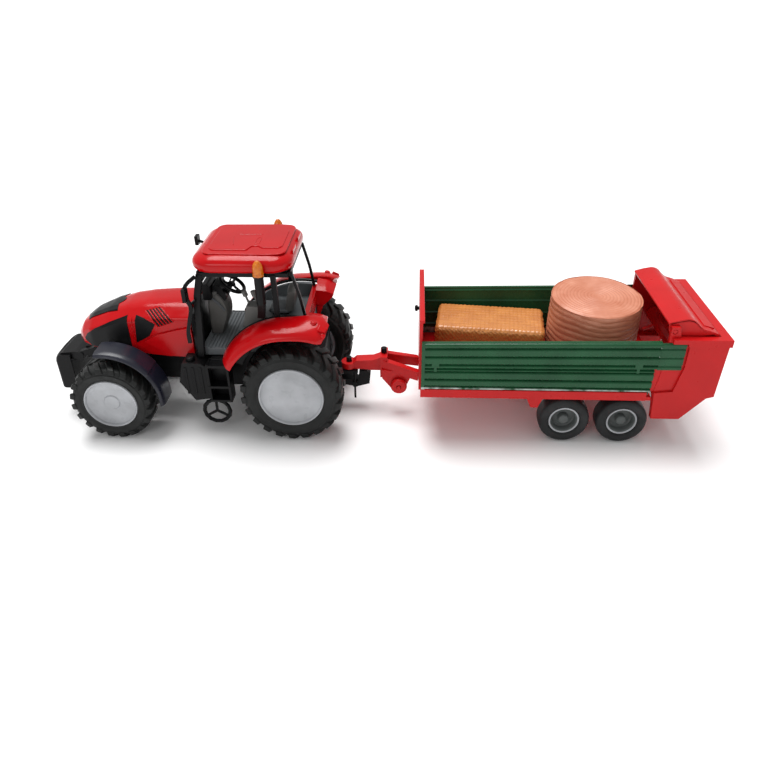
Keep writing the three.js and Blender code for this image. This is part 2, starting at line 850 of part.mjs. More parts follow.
// The section of a side wall: a thin panel with raised boards, as [y, z] points.
function boardSection(bottom, top, boards) {
  const inner = 44.6;
  const groove = BED.halfWidth - 1.5;
  const points = [
    [inner, bottom],
    [groove, bottom],
  ];
  boards.forEach(([low, high]) => {
    points.push([groove, low], [BED.halfWidth, low + 0.5], [BED.halfWidth, high - 0.5], [groove, high]);
  });
  points.push([groove, top], [inner, top]);
  return points.filter(([y, z], i) => i === 0 || y !== points[i - 1][0] || z !== points[i - 1][1]);
}

function trailerSideWall() {
  const start = BED.x[0] + 0.4;
  const end = 274;
  const lower = slabX(
    boardSection(45, 63.4, [
      [45.6, 49.6],
      [51, 56.6],
      [58, 62.6],
    ]),
    [start, 256.4],
  );
  const upper = slabX(
    boardSection(63, BED.wallTop, [
      [64.4, 66.4],
      [67.6, 72.4],
      [74, 80],
      [81.6, 84.8],
    ]),
    [start, end],
  );
  const skinPanel = block([start, 256.4], [44.4, 45.8], [BED.floor + GAP, 50]);
  const latches = [104, 245].map((x) => block([x - 2.5, x + 2.5], [47, 48.7], [62, 67]));
  const whole = join(lower, upper, skinPanel, ...latches);
  const straight = cut(whole, block([258, 290], [40, 47.5], [40, 90]));
  return straight.warp((point) => {
    const height = (point[2] - BED.floor) / (BED.wallTop - BED.floor);
    const forward = (end - point[0]) / (end - start);
    point[2] -= BED.drop * height * forward;
  });
}

// One of the two sloping arms from the cross head to the bed, on the +Y side.
function drawbarArm() {
  const start = { x: 65, y: 6 };
  const length = 28;
  const fan = 10.5;
  const arm = slabY(
    [
      [0, 36],
      [0, 44.5],
      [length, 37.3],
      [length, 29.6],
    ],
    [-2.4, 2.4],
  );
  return arm.rotate([0, 0, fan]).translate([start.x, start.y, 0]);
}

function drawbar() {
  const eye = rod([HITCH_PIN.x, 0, EYE.bottom], [HITCH_PIN.x, 0, EYE.top], 6, 16);
  const tongue = slabY(
    [
      [42, EYE.bottom],
      [50, EYE.bottom],
      [56, 33.4],
      [66, 33.4],
      [66, 46],
      [57, 42.4],
      [44, 41.6],
      [41, 39],
    ],
    [-4.6, 4.6],
  );
  const crossHead = block([BOLT.x - 2.8, BOLT.x + 2.8], [-8, 8], [29, 47]);
  const arms = [drawbarArm(), drawbarArm().mirror([0, 1, 0])];
  const strut = slabY(
    [
      [64, 37],
      [88, 34.5],
      [83, 22],
      [77, 17.5],
      [71, 21],
      [64.5, 29.4],
    ],
    [-10.2, -7.8],
  );
  const wheelPin = rod([JOCKEY.x, -9, JOCKEY.z], [JOCKEY.x, -15.4, JOCKEY.z], JOCKEY.pin, 10);
  const whole = join(eye, tongue, crossHead, ...arms, strut, wheelPin);
  return cut(
    whole,
    rod([HITCH_PIN.x, 0, 30], [HITCH_PIN.x, 0, 50], HITCH_PIN.radius + FIT, 10),
    rod([BOLT.x, 0, 25], [BOLT.x, 0, 52], BOLT.radius + FIT, 8),
  );
}

function drawbarBolt() {
  const shank = rod([BOLT.x, 0, 30], [BOLT.x, 0, 49], BOLT.radius, 10);
  const head = rod([BOLT.x, 0, 47.4], [BOLT.x, 0, 51.4], 2.5, 6);
  return join(shank, head);
}

function jockeyWheel() {
  const { x, z, radius, y, pin } = JOCKEY;
  const profile = [
    [pin + FIT, y[0]],
    [radius - 1, y[0]],
    [radius, y[0] + 1],
    [radius, y[1] - 1],
    [radius - 1, y[1]],
    [pin + FIT, y[1]],
    [pin + FIT, y[0]],
  ];
  return turnedY(profile, x, z, 16);
}

function spreaderHousing() {
  const { side, flange, flangeZ } = HOUSING;
  const plate = [
    [259, 42],
    [261, 22.6],
    [281, 22.6],
    [296.4, 40.8],
    [301.4, 42.2],
    [302.6, 86],
    [262, 86],
    [262, 66],
  ];
  const raised = [
    [259.4, 44.6],
    [261, 22.6],
    [281, 22.6],
    [296.4, 40.8],
    [301.4, 42.2],
    [302.6, 86],
    [276, 86],
    [276, 66],
    [272, 46],
  ];
  const both = (shape, y) =>
    [1, -1].map((s) => slabY(shape, sorted(y.map((value) => s * value))));
  const plates = both(plate, [side[0] - 1.6, side[0] + 1]);
  const skirts = both(raised, [side[0], side[1]]);
  const rearWall = slabY(
    [
      [298.6, 42],
      [301.2, 42.2],
      [302.6, 86],
      [300, 86],
    ],
    [-46, 46],
  );
  const floor = block([259, 300], [-46, 46], [42, 44]);
  const outlet = block([272, 292], [-38, 38], [40, 46]);
  const edge = cut(
    join(
      block([264, REAR_END], [-flange, flange], flangeZ),
      block([274.4, REAR_END], [-flange, flange], [flangeZ[0] - 2, flangeZ[1]]),
    ),
    block([250, 296.8], [-44.7, 44.7], [80, 92]),
  );
  const ears = both(
    [
      [262, 85],
      [270, 85],
      [267.6, 96.6],
      [261.8, 96.6],
    ],
    [44.6, 47.2],
  );
  const pocket = BEATER.end + GAP;
  const bores = [
    rod([FLAP_PIVOT.x, -60, FLAP_PIVOT.z], [FLAP_PIVOT.x, 60, FLAP_PIVOT.z], FLAP_PIVOT.radius + FIT, 8),
    rod([BEATER.x, -pocket, BEATER.z], [BEATER.x, pocket, BEATER.z], BEATER.shaft + FIT, 8),
  ];
  return cut(join(...plates, ...skirts, rearWall, cut(floor, outlet), edge, ...ears), ...bores);
}

// The hood over the beater: a ridge with closed cheeks and a pivot stub at each end.
function spreaderHood() {
  const top = [
    [260.2, 98.4],
    [272.9, 101.6],
    [277.3, 100.6],
    [284, 93.6],
    [295.4, 90],
  ];
  const under = top.map(([x, z]) => [x, z - 2]).reverse();
  const sheet = slabY([...top, ...under], [-44.3, 44.3]);
  const cheek = [
    [260.4, 98.2],
    [272.9, 101],
    [277.3, 100],
    [284, 93],
    [292, 90.2],
    [284, 88.8],
    [266, 88.8],
    [261.4, 91],
  ];
  const cheeks = [1, -1].map((s) =>
    slabY(cheek, sorted([s * 42.3, s * 44.3])),
  );
  const stubs = [1, -1].map((s) =>
    rod([FLAP_PIVOT.x, s * 43, FLAP_PIVOT.z], [FLAP_PIVOT.x, s * 47, FLAP_PIVOT.z], FLAP_PIVOT.radius, 8),
  );
  return join(sheet, ...cheeks, ...stubs);
}

function spreaderBeater() {
  const { x, z, core, tip, shaft: shaftRadius, end } = BEATER;
  const drum = rod([x, -43.6, z], [x, 43.6, z], core, 12);
  const shaft = rod([x, -end, z], [x, end, z], shaftRadius, 10);
  const rows = 4;
  const paddlesPerRow = 3;
  const paddles = Array.from({ length: rows * paddlesPerRow }, (_, i) => {
    const row = i % rows;
    const y = -38 + (76 * (Math.floor(i / rows) + row / rows)) / paddlesPerRow;
    const angle = (row * Math.PI) / 2 + 0.4;
    const blade = new THREE.BoxGeometry(tip - core + 2, 3, 1.6);
    blade.translate((tip + core) / 2 - 1, 0, 0).rotateY(-angle);
    return solid(blade.translate(x, y, z));
  });
  return join(drum, shaft, ...paddles);
}

// ---------------------------------------------------------------- load
const ROUND_BALE = { x: 223.2, y: 5, radius: 33.8, height: 54.4, slope: 0.055 };
const SQUARE_BALE = { x: 147.4, y: 15.3, size: [83, 44.5, 30], turn: -6 };

function roundBale() {
  const bottom = BED.floor + GAP;
  const top = bottom + ROUND_BALE.height;
  const { radius } = ROUND_BALE;
  const profile = [
    [0, bottom],
    [radius - 2.5, bottom],
    [radius - 0.6, bottom + 3],
    [radius, top - 4],
    [radius - 2, top - 0.6],
    [0, top],
  ];
  const upright = turnedZ(profile, ROUND_BALE.x, ROUND_BALE.y, 28);
  const { height, slope, y } = ROUND_BALE;
  return upright.warp((point) => {
    point[2] += (slope * (point[1] - y) * (point[2] - bottom)) / height;
  });
}

// A block with bevelled long edges and ends, before it is turned in the bed.
function squareBale() {
  const [length, width, height] = SQUARE_BALE.size;
  const level = (inset, z) =>
    [
      [1, 1],
      [-1, 1],
      [-1, -1],
      [1, -1],
    ].map(([u, v]) => [u * (length / 2 - inset), v * (width / 2 - inset), z]);
  const rings = [level(3, 0), level(0, 3), level(0, height - 4), level(4, height)];
  return skin(rings, ([x, y]) => [x, y]);
}

// ---------------------------------------------------------------- assembly
place("chassis", chassis(), blackPlastic);
place("front_weight_block", frontWeightBlock(), blackPlastic);
place("front_axle_pivot_pin", rod([-148, 0, PIVOT.z], [-122, 0, PIVOT.z], PIVOT.radius, 10), axleSteel);
place("hood", hood(), tractorRed);
place("grille_insert", grilleInsert(), blackPlastic);
place("cab_tub", cabTub(), cabGrey);
place("steering_console", steeringConsole(), darkGrey);
place("driver_seat", driverSeat(), darkGrey);
place("side_console", sideConsole(), darkGrey);
place("cab_frame", cabFrame(), blackPlastic);
place("cab_roof", cabRoof(), tractorRed);
placePair("rear_fender", rearFender(), tractorRed);
placePair("beacon_post", beaconPost(), blackPlastic);
placePair("beacon_lens", beaconLens(), amber);
place("mirror_right", mirrorRight(), blackPlastic);
place("mirror_left", mirrorLeft(), blackPlastic).scale.y = -1;
place("steps_right", steps(), blackPlastic);
place("steps_left", join(steps(), stepRing()), blackPlastic).scale.y = -1;
place("tow_hitch", towHitch(), blackPlastic);

const wheelOnColumn = place("steering_wheel", steeringWheel(), blackPlastic);
wheelOnColumn.position.set(...STEERING.centre);
wheelOnColumn.rotation.y = THREE.MathUtils.degToRad(STEERING.tilt);

place("front_axle_beam", frontAxleBeam(), blackPlastic);
placePair("front_fender", frontFender(), fenderBlack);
placePair("steering_knuckle", steeringKnuckle(), blackPlastic);
place("tie_rod", tieRod(), blackPlastic);
placePair("front_tyre", tyre(FRONT_WHEEL, FRONT_WHEEL.x, 28), tyreBlack);
placePair("front_rim", rim(FRONT_WHEEL, FRONT_WHEEL.x, 16), rimGrey);
place("rear_axle", shaftBetweenRims(REAR_WHEEL, REAR_WHEEL.x), axleSteel);
placePair("rear_tyre", tyre(REAR_WHEEL, REAR_WHEEL.x, 28), tyreBlack);
placePair("rear_rim", rim(REAR_WHEEL, REAR_WHEEL.x, 18), rimGrey);

place("trailer_bed", trailerBed(), trailerRed);
place("trailer_front_wall", trailerFrontWall(), trailerRed);
placePair("trailer_side_wall", trailerSideWall(), trailerGreen);
place("drawbar", drawbar(), trailerRed);
place("drawbar_bolt", drawbarBolt(), blackPlastic);
place("jockey_wheel", jockeyWheel(), trailerRed);
place("spreader_housing", spreaderHousing(), trailerRed);
place("spreader_hood", spreaderHood(), trailerRed);
place("spreader_beater", spreaderBeater(), trailerRed);
Object.entries(TRAILER_AXLES).forEach(([name, x]) => {
  place(name + "_axle", shaftBetweenRims(TRAILER_WHEEL, x), axleSteel);
  placePair(name + "_tyre", tyre(TRAILER_WHEEL, x, 20), trailerTyre);
  placePair(name + "_rim", rim(TRAILER_WHEEL, x, 12), trailerRim);
});

place("round_bale", roundBale(), haySalmon);
const looseBale = place("square_bale", squareBale(), strawOrange);
looseBale.position.set(SQUARE_BALE.x, SQUARE_BALE.y, BED.floor + GAP);
looseBale.rotation.z = THREE.MathUtils.degToRad(SQUARE_BALE.turn);

export default toy;
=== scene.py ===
"""Looks of a toy tractor that pulls a spreader trailer loaded with two bales.

Shapes are written in millimetres in the toy's own frame: X = 0 is the tractor's rear
axle and X grows towards the trailer's tail, Y = 0 is the middle plane with -Y on the
tractor's left, and Z = 0 is the ground. piece() turns them into metres in the row frame.
"""

import json
import math

import bmesh
import bpy
from mathutils import Matrix, Vector, noise


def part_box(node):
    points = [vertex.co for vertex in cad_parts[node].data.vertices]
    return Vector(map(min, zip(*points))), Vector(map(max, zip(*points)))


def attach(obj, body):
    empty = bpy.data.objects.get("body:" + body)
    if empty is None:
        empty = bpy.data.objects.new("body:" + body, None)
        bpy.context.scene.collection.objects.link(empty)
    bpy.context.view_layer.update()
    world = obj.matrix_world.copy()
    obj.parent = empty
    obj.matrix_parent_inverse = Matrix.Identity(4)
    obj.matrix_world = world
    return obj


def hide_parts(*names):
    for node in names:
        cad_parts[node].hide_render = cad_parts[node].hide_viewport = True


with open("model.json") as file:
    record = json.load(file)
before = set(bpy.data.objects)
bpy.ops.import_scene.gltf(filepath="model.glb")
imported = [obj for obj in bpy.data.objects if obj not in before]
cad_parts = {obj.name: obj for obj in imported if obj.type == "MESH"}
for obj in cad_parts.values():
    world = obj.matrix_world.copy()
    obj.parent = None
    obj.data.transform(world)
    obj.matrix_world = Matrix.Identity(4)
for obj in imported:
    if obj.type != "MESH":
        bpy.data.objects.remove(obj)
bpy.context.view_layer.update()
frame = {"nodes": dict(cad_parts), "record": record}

# ---- sizes, in millimetres
MM = 0.001


def cad_box(node):
    """Lowest and highest corner of a CAD node in millimetres, in the toy's own frame."""
    low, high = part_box(node)
    return (low - AXLE) / MM, (high - AXLE) / MM


def middle(a, b):
    return (a + b) / 2


axle_low, axle_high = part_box("rear_axle")
AXLE = Vector((middle(axle_low.x, axle_high.x), 0, 0))
TO_ROW = Matrix.Translation(AXLE) @ Matrix.Scale(MM, 4)


def wheel_place(node):
    """Centre X, radius, inner face and outer face of the wheel whose right tyre is node."""
    low, high = cad_box(node)
    radius = (high.x - low.x) / 2
    return middle(low.x, high.x), radius, low.y, high.y


REAR_RADIUS = wheel_place("rear_tyre_right")[1]
FRONT_RADIUS = wheel_place("front_tyre_right")[1]

# Bonnet stations: x, lower edge, side line, top, half width at the side line.
HOOD = [
    (-167.4, 63, 67, 70.5, 9),
    (-163, 61, 70, 76, 14.5),
    (-154, 60, 74.5, 82, 19.5),
    (-139.3, 60, 80, 88, 22.5),
    (-124, 59, 84, 92.4, 23.6),
    (-110.4, 57, 86, 94.4, 24.4),
    (-94, 55.5, 87, 95.4, 25),
    (-74, 58, 87.4, 95.8, 25.6),
]
HOOD_CROWN = 0.58  # share of the half width where the top begins to flatten


# ---- shapes: lists of corners and faces
def rotation(degrees, axis):
    return Matrix.Rotation(math.radians(degrees), 4, axis)


def box(x, y, z):
    corners = [(a, b, c) for a in x for b in y for c in z]
    faces = [(0, 1, 3, 2), (4, 6, 7, 5), (0, 4, 5, 1), (2, 3, 7, 6), (0, 2, 6, 4), (1, 5, 7, 3)]
    return corners, faces


def together(*shapes):
    corners, faces = [], []
    for more_corners, more_faces in shapes:
        start = len(corners)
        corners += list(more_corners)
        faces += [tuple(start + i for i in face) for face in more_faces]
    return corners, faces


def mirrored(shape):
    corners, faces = shape
    return [(x, -y, z) for x, y, z in corners], [tuple(reversed(face)) for face in faces]


def both_sides(shape):
    return together(shape, mirrored(shape))


def moved(shape, matrix):
    corners, faces = shape
    return [tuple(matrix @ Vector(corner)) for corner in corners], faces


def loft(rings, ring_closed=True, loop=False):
    """A surface over rings that all have the same number of points, with ends if the rings are closed."""
    count = len(rings[0])
    corners = [point for ring in rings for point in ring]
    faces = []
    for r in range(len(rings) if loop else len(rings) - 1):
        here = r * count
        there = ((r + 1) % len(rings)) * count
        for i in range(count if ring_closed else count - 1):
            j = (i + 1) % count
            faces.append((here + i, here + j, there + j, there + i))
    if ring_closed and not loop:
        faces.append(tuple(reversed(range(count))))
        faces.append(tuple(range(len(corners) - count, len(corners))))
    return corners, faces


def slab(outline, y):
    """An outline in X and Z between two values of Y."""
    return loft([[(x, value, z) for x, z in outline] for value in y])


def plate(outline, z):
    """An outline in X and Y between two heights."""
    return loft([[(x, y, value) for x, y in outline] for value in z])


def lengthways(outline, x):
    """An outline in Y and Z between two values of X."""
    return loft([[(value, y, z) for y, z in outline] for value in x])


def turned(profile, sides, matrix, closed=True):
    """A profile of (radius, height) turned about Z, then put in place by a matrix."""
    rings = [[(*arc_point(0, 0, r, 360 * i / sides), h) for r, h in profile] for i in range(sides)]
    return moved(loft(rings, ring_closed=closed, loop=True), matrix)


def arc_point(x, y, radius, degrees):
    """A point on a circle about (x, y)."""
    angle = math.radians(degrees)
    return x + radius * math.cos(angle), y + radius * math.sin(angle)


def upright(x, y):
    return Matrix.Translation((x, y, 0))


def across(x, z):
    """Turns an upright shape onto its side: its height then runs along +Y."""
    return Matrix.Translation((x, 0, z)) @ rotation(-90, "X")


def softened(points, radius, steps=4, closed=True):
    """The same outline with each corner rounded off over about radius on each side."""
    count = len(points)
    rounded = []
    for i, corner in enumerate(points):
        here = Vector(corner)
        if not closed and i in (0, count - 1):
            rounded.append(tuple(here))
            continue
        before = Vector(points[i - 1]) - here
        after = Vector(points[(i + 1) % count]) - here
        reach = radius[i] if isinstance(radius, (list, tuple)) else radius
        reach = min(reach, before.length * 0.48, after.length * 0.48)
        start = here + before.normalized() * reach
        end = here + after.normalized() * reach
        for s in range(steps + 1):
            t = s / steps
            rounded.append(tuple(start * (1 - t) ** 2 + here * 2 * t * (1 - t) + end * t * t))
    return rounded


def smooth_line(points, steps):
    """A smooth line through points (Catmull-Rom), with this many steps between two of them."""
    line = []
    vectors = [Vector(p) for p in points]
    for i in range(len(vectors) - 1):
        p1, p2 = vectors[i], vectors[i + 1]
        p0 = vectors[i - 1] if i else p1 * 2 - p2
        p3 = vectors[i + 2] if i + 2 < len(vectors) else p2 * 2 - p1
        for s in range(steps):
            t = s / steps
            line.append((p1 * 2 + (p2 - p0) * t + (p0 * 2 - p1 * 5 + p2 * 4 - p3) * t * t
                         + (p1 * 3 - p0 - p2 * 3 + p3) * t * t * t) / 2)
    line.append(vectors[-1])
    return line


def tube(path, radius, sides=12, closed=False):
    """A round bar along a path of points."""
    line = [Vector(p) for p in path]
    count = len(line)
    rings = []
    normal = None
    for i, point in enumerate(line):
        ahead = line[(i + 1) % count] if closed or i + 1 < count else point
        behind = line[i - 1] if closed or i else point
        along = (ahead - behind).normalized()
        if normal is None:
            normal = along.orthogonal().normalized()
        normal = (normal - along * normal.dot(along)).normalized()
        side = along.cross(normal)
        size = radius[i] if isinstance(radius, list) else radius
        circle = [arc_point(0, 0, size, 360 * k / sides) for k in range(sides)]
        rings.append([tuple(point + normal * u + side * v) for u, v in circle])
    return loft(rings, loop=closed)


def between(x, points):
    """Straight-line value at x in a list of (x, value) points."""
    if x <= points[0][0]:
        return points[0][1]
    for (x0, v0), (x1, v1) in zip(points, points[1:]):
        if x <= x1:
            return v0 + (v1 - v0) * (x - x0) / (x1 - x0)
    return points[-1][1]


def spread(low, high, steps):
    """Even steps from low to high, with both ends."""
    return [low + (high - low) * i / steps for i in range(steps + 1)]


# ---- materials
def shader(name, shine=None):
    """A new material: its node tree, its surface shader and the coordinates that its patterns follow."""
    material = bpy.data.materials.new(name)
    material.use_nodes = True
    tree = material.node_tree
    bsdf = tree.nodes["Principled BSDF"]
    if shine is not None:
        bsdf.inputs["Specular IOR Level"].default_value = shine
    return material, tree, bsdf, tree.nodes.new("ShaderNodeTexCoord").outputs["Object"]


def dressed(tree, bsdf, colour, roughness, normal):
    for socket, value in (("Base Color", colour), ("Roughness", roughness), ("Normal", normal)):
        tree.links.new(value, bsdf.inputs[socket])


def noise_of(tree, coordinates, scale, detail=3.0):
    node = tree.nodes.new("ShaderNodeTexNoise")
    node.inputs["Scale"].default_value = scale
    node.inputs["Detail"].default_value = detail
    tree.links.new(coordinates, node.inputs["Vector"])
    return node.outputs["Fac"]


def ranged(tree, value, low, high, source=(0.3, 0.7)):
    node = tree.nodes.new("ShaderNodeMapRange")
    for name, limit in zip(("From Min", "From Max", "To Min", "To Max"), (*source, low, high)):
        node.inputs[name].default_value = limit
    tree.links.new(value, node.inputs["Value"])
    return node.outputs["Result"]


def blended(tree, factor, first, second):
    """A colour between two, each given as a socket or as three numbers."""
    node = tree.nodes.new("ShaderNodeMix")
    node.data_type = "RGBA"
    tree.links.new(factor, node.inputs["Factor"])
    for socket, value in (("A", first), ("B", second)):
        target = next(s for s in node.inputs if s.name == socket and s.type == "RGBA")
        if isinstance(value, (tuple, list)):
            target.default_value = (*value, 1)
        else:
            tree.links.new(value, target)
    return next(s for s in node.outputs if s.type == "RGBA")


def bumped(tree, height, strength, depth, after=None):
    """Relief of this depth in millimetres, on top of another relief if one is given."""
    node = tree.nodes.new("ShaderNodeBump")
    node.inputs["Strength"].default_value = strength
    node.inputs["Distance"].default_value = depth * MM
    tree.links.new(height, node.inputs["Height"])
    if after is not None:
        tree.links.new(after, node.inputs["Normal"])
    return node.outputs["Normal"]


def plastic(name, colour, roughness, variation, grain, depth, shine, waviness=0.05):
    """Moulded plastic: faint flow marks in its colour and gloss, a fine grain, and a slow waviness."""
    material, tree, bsdf, where = shader(name, shine)
    flow = noise_of(tree, where, 45, 4)
    fine = noise_of(tree, where, grain, 2)
    dark = tuple(c * (1 - variation) for c in colour)
    light = tuple(min(1, c * (1 + variation)) for c in colour)
    gloss = ranged(tree, noise_of(tree, where, 160, 3), roughness - 0.05, roughness + 0.06)
    slow = bumped(tree, noise_of(tree, where, 90, 2), 0.5, waviness)
    dressed(tree, bsdf, blended(tree, ranged(tree, flow, 0, 1), dark, light), gloss,
            bumped(tree, fine, 0.5, depth, slow))
    return material


def green_with_painted_reflection():
    """Green plastic with a pale painted reflection along part of its lowest ledge."""
    material = plastic("trailer_green", (0.012, 0.078, 0.03), 0.28, 0.2, 2500, 0.02, 0.25)
    tree = material.node_tree
    coat = tree.nodes["Principled BSDF"].inputs["Base Color"]
    base = coat.links[0].from_socket
    where = tree.nodes.new("ShaderNodeTexCoord").outputs["Object"]
    split = tree.nodes.new("ShaderNodeSeparateXYZ")
    tree.links.new(where, split.inputs[0])
    # Painted reflection: a pale strip along part of the lowest ledge stands in for light from the white
    # floor.
    reflection_height = 46.4 * MM
    low = ranged(tree, split.outputs["Z"], 1, 0, (reflection_height - 0.2 * MM, reflection_height + 0.4 * MM))
    patches = ranged(tree, noise_of(tree, where, 130, 5), 0, 0.85, (0.38, 0.6))
    painted_reflection_mask = tree.nodes.new("ShaderNodeMath")
    painted_reflection_mask.operation = "MULTIPLY"
    tree.links.new(low, painted_reflection_mask.inputs[0])
    tree.links.new(patches, painted_reflection_mask.inputs[1])
    tree.links.new(blended(tree, painted_reflection_mask.outputs[0], base, (0.55, 0.62, 0.58)), coat)
    return material


def rubber(name, colour, roughness):
    """Soft tyre plastic: matt, slightly dusty, with a fine skin."""
    material, tree, bsdf, where = shader(name, 0.25)
    dust = ranged(tree, noise_of(tree, where, 70, 6), 0, 1)
    pale = tuple(c * 1.7 + 0.004 for c in colour)
    gloss = ranged(tree, noise_of(tree, where, 220, 4), roughness - 0.08, roughness + 0.1)
    dressed(tree, bsdf, blended(tree, dust, colour, pale), gloss,
            bumped(tree, noise_of(tree, where, 1800, 3), 0.6, 0.05))
    return material


def straw(name, colour, dark, roughness, stretch, depth):
    """Moulded straw: short streaks that run along the bale, in colour and in relief."""
    material, tree, bsdf, where = shader(name)
    mapping = tree.nodes.new("ShaderNodeMapping")
    mapping.inputs["Scale"].default_value = stretch
    tree.links.new(where, mapping.inputs["Vector"])
    streaks = noise_of(tree, mapping.outputs["Vector"], 1, 4)
    patches = noise_of(tree, where, 60, 3)
    mottled = blended(tree, ranged(tree, patches, 0, 0.5), colour, dark)
    gloss = ranged(tree, streaks, roughness - 0.1, roughness + 0.12)
    relief = bumped(tree, streaks, 0.8, depth)
    dressed(tree, bsdf, blended(tree, ranged(tree, streaks, 0, 0.6), mottled, dark), gloss,
            bumped(tree, noise_of(tree, where, 1500, 2), 0.4, 0.03, relief))
    return material


def amber():
    """Translucent orange lens with cloudy depth."""
    material, tree, bsdf, where = shader("amber_lens")
    bsdf.inputs["Transmission Weight"].default_value = 0.35
    bsdf.inputs["IOR"].default_value = 1.49
    cloud = ranged(tree, noise_of(tree, where, 500, 4), 0, 1)
    dressed(tree, bsdf, blended(tree, cloud, (0.74, 0.15, 0.002), (0.95, 0.31, 0.012)),
            ranged(tree, cloud, 0.12, 0.28, (0, 1)), bumped(tree, cloud, 0.4, 0.1))
    return material


def steel():
    """Drawn steel rod with fine lines round it."""
    material, tree, bsdf, where = shader("axle_steel")
    bsdf.inputs["Metallic"].default_value = 1.0
    lines = noise_of(tree, where, 900, 4)
    dressed(tree, bsdf, blended(tree, lines, (0.4, 0.41, 0.43), (0.62, 0.63, 0.65)),
            ranged(tree, lines, 0.25, 0.42), bumped(tree, lines, 0.3, 0.02))
    return material


# Slot: colour, roughness, variation, grain, depth of the grain, shine, and waviness where it isn't the usual.
PLASTICS = {
    "tractor_red": ((0.47, 0.0018, 0.004), 0.18, 0.06, 1800, 0.006, 0.24),
    "trailer_red": ((0.53, 0.008, 0.009), 0.32, 0.07, 2200, 0.012, 0.22),
    "black_plastic": ((0.004, 0.004, 0.0045), 0.36, 0.3, 2600, 0.03, 0.15),
    # fender_black: the faint blue lift in its colour is a painted reflection of a bluish highlight.
    "fender_black": ((0.01, 0.011, 0.021), 0.32, 0.1, 2600, 0.008, 0.45, 0.012),
    "rim_grey": ((0.4, 0.41, 0.43), 0.3, 0.22, 1500, 0.04, 0.4),
    "trailer_rim": ((0.085, 0.094, 0.092), 0.4, 0.14, 1500, 0.02, 0.3),
    "cab_grey": ((0.13, 0.142, 0.15), 0.45, 0.14, 1300, 0.05, 0.3),
    "dark_grey": ((0.13, 0.127, 0.12), 0.48, 0.18, 1300, 0.05, 0.3),
}
FINISH = {slot: plastic(slot, *values) for slot, values in PLASTICS.items()}
FINISH.update({
    "tractor_tyre": rubber("tractor_tyre", (0.0055, 0.006, 0.0058), 0.5),
    "trailer_tyre": rubber("trailer_tyre", (0.011, 0.0115, 0.012), 0.5),
    "trailer_green": green_with_painted_reflection(),
    "amber_lens": amber(),
    "axle_steel": steel(),
    "hay_salmon": straw("hay_salmon", (0.7, 0.3, 0.19), (0.45, 0.12, 0.05), 0.45, (90, 90, 500), 0.3),
    "straw_orange": straw("straw_orange", (0.68, 0.28, 0.075), (0.4, 0.12, 0.025), 0.3, (120, 500, 500), 0.3),
})


# ---- pieces
def placed(name, data):
    """A new object, linked to the scene."""
    thing = bpy.data.objects.new(name, data)
    bpy.context.scene.collection.objects.link(thing)
    return thing


def rounding(thing, width, segments=2):
    """Rounds the edges that are sharper than 28 degrees."""
    bevel = thing.modifiers.new("edge rounding", "BEVEL")
    bevel.width = width * MM
    bevel.segments = segments
    bevel.limit_method = "ANGLE"
    bevel.angle_limit = math.radians(28)
    bevel.miter_outer = "MITER_ARC"
    normals = thing.modifiers.new("even shading", "WEIGHTED_NORMAL")
    normals.keep_sharp = True


def piece(name, shape, body, finish, nodes=(), edge=0.35, segments=2, thickness=0, smooth=40):
    """One mesh piece on a body. thickness turns an open sheet into a plate, inwards."""
    corners, faces = shape
    mesh = bpy.data.meshes.new(name)
    mesh.from_pydata([tuple(c) for c in corners], [], faces)
    work = bmesh.new()
    work.from_mesh(mesh)
    bmesh.ops.remove_doubles(work, verts=work.verts, dist=1e-4)
    bmesh.ops.recalc_face_normals(work, faces=work.faces)
    bmesh.ops.transform(work, matrix=TO_ROW, verts=work.verts)
    work.to_mesh(mesh)
    work.free()
    mesh.polygons.foreach_set("use_smooth", [True] * len(mesh.polygons))
    mesh.set_sharp_from_angle(angle=math.radians(smooth))
    mesh.materials.append(FINISH[finish])
    thing = placed(name, mesh)
    if thickness:
        solid = thing.modifiers.new("wall", "SOLIDIFY")
        solid.thickness = thickness * MM
        solid.offset = -1
    if edge:
        rounding(thing, edge, segments)
    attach(thing, body)
    if nodes:
        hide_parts(*nodes)
    return thing


def pair(name, right_shape, body, finish, edge=0.35, segments=2, bodies=None, replace=True):
    """A piece drawn on the right, and its mirror image on the left, that stand for CAD nodes of that name."""
    for side, shape in (("right", right_shape), ("left", mirrored(right_shape))):
        own = bodies[side] if bodies else body
        nodes = (f"{name}_{side}",) if replace else ()
        label = f"{name}_{side}_fine" if replace else f"{name}_{side}"
        piece(label, shape, own, finish, nodes, edge, segments)


# ---- camera, light, floor
def camera():
    """The viewpoint: above the left side, about two thirds of a metre from the toy."""
    focal_length, sensor = 32.69, 36.0
    down, turn, roll = 32.36, 3.08, 0.77
    data = bpy.data.cameras.new("camera")
    data.lens = focal_length
    data.sensor_width = sensor
    data.clip_start, data.clip_end = 0.02, 20
    eye = placed("camera", data)
    eye.matrix_world = (
        Matrix.Translation(TO_ROW @ Vector((87.22, -465.73, 316.88)))
        @ rotation(turn, "Z")
        @ rotation(90 - down, "X")
        @ rotation(-roll, "Z")
    )
    bpy.context.scene.camera = eye


def lamp(name, kind, energy):
    data = bpy.data.lights.new(name, kind)
    data.energy = energy
    return placed(name, data)


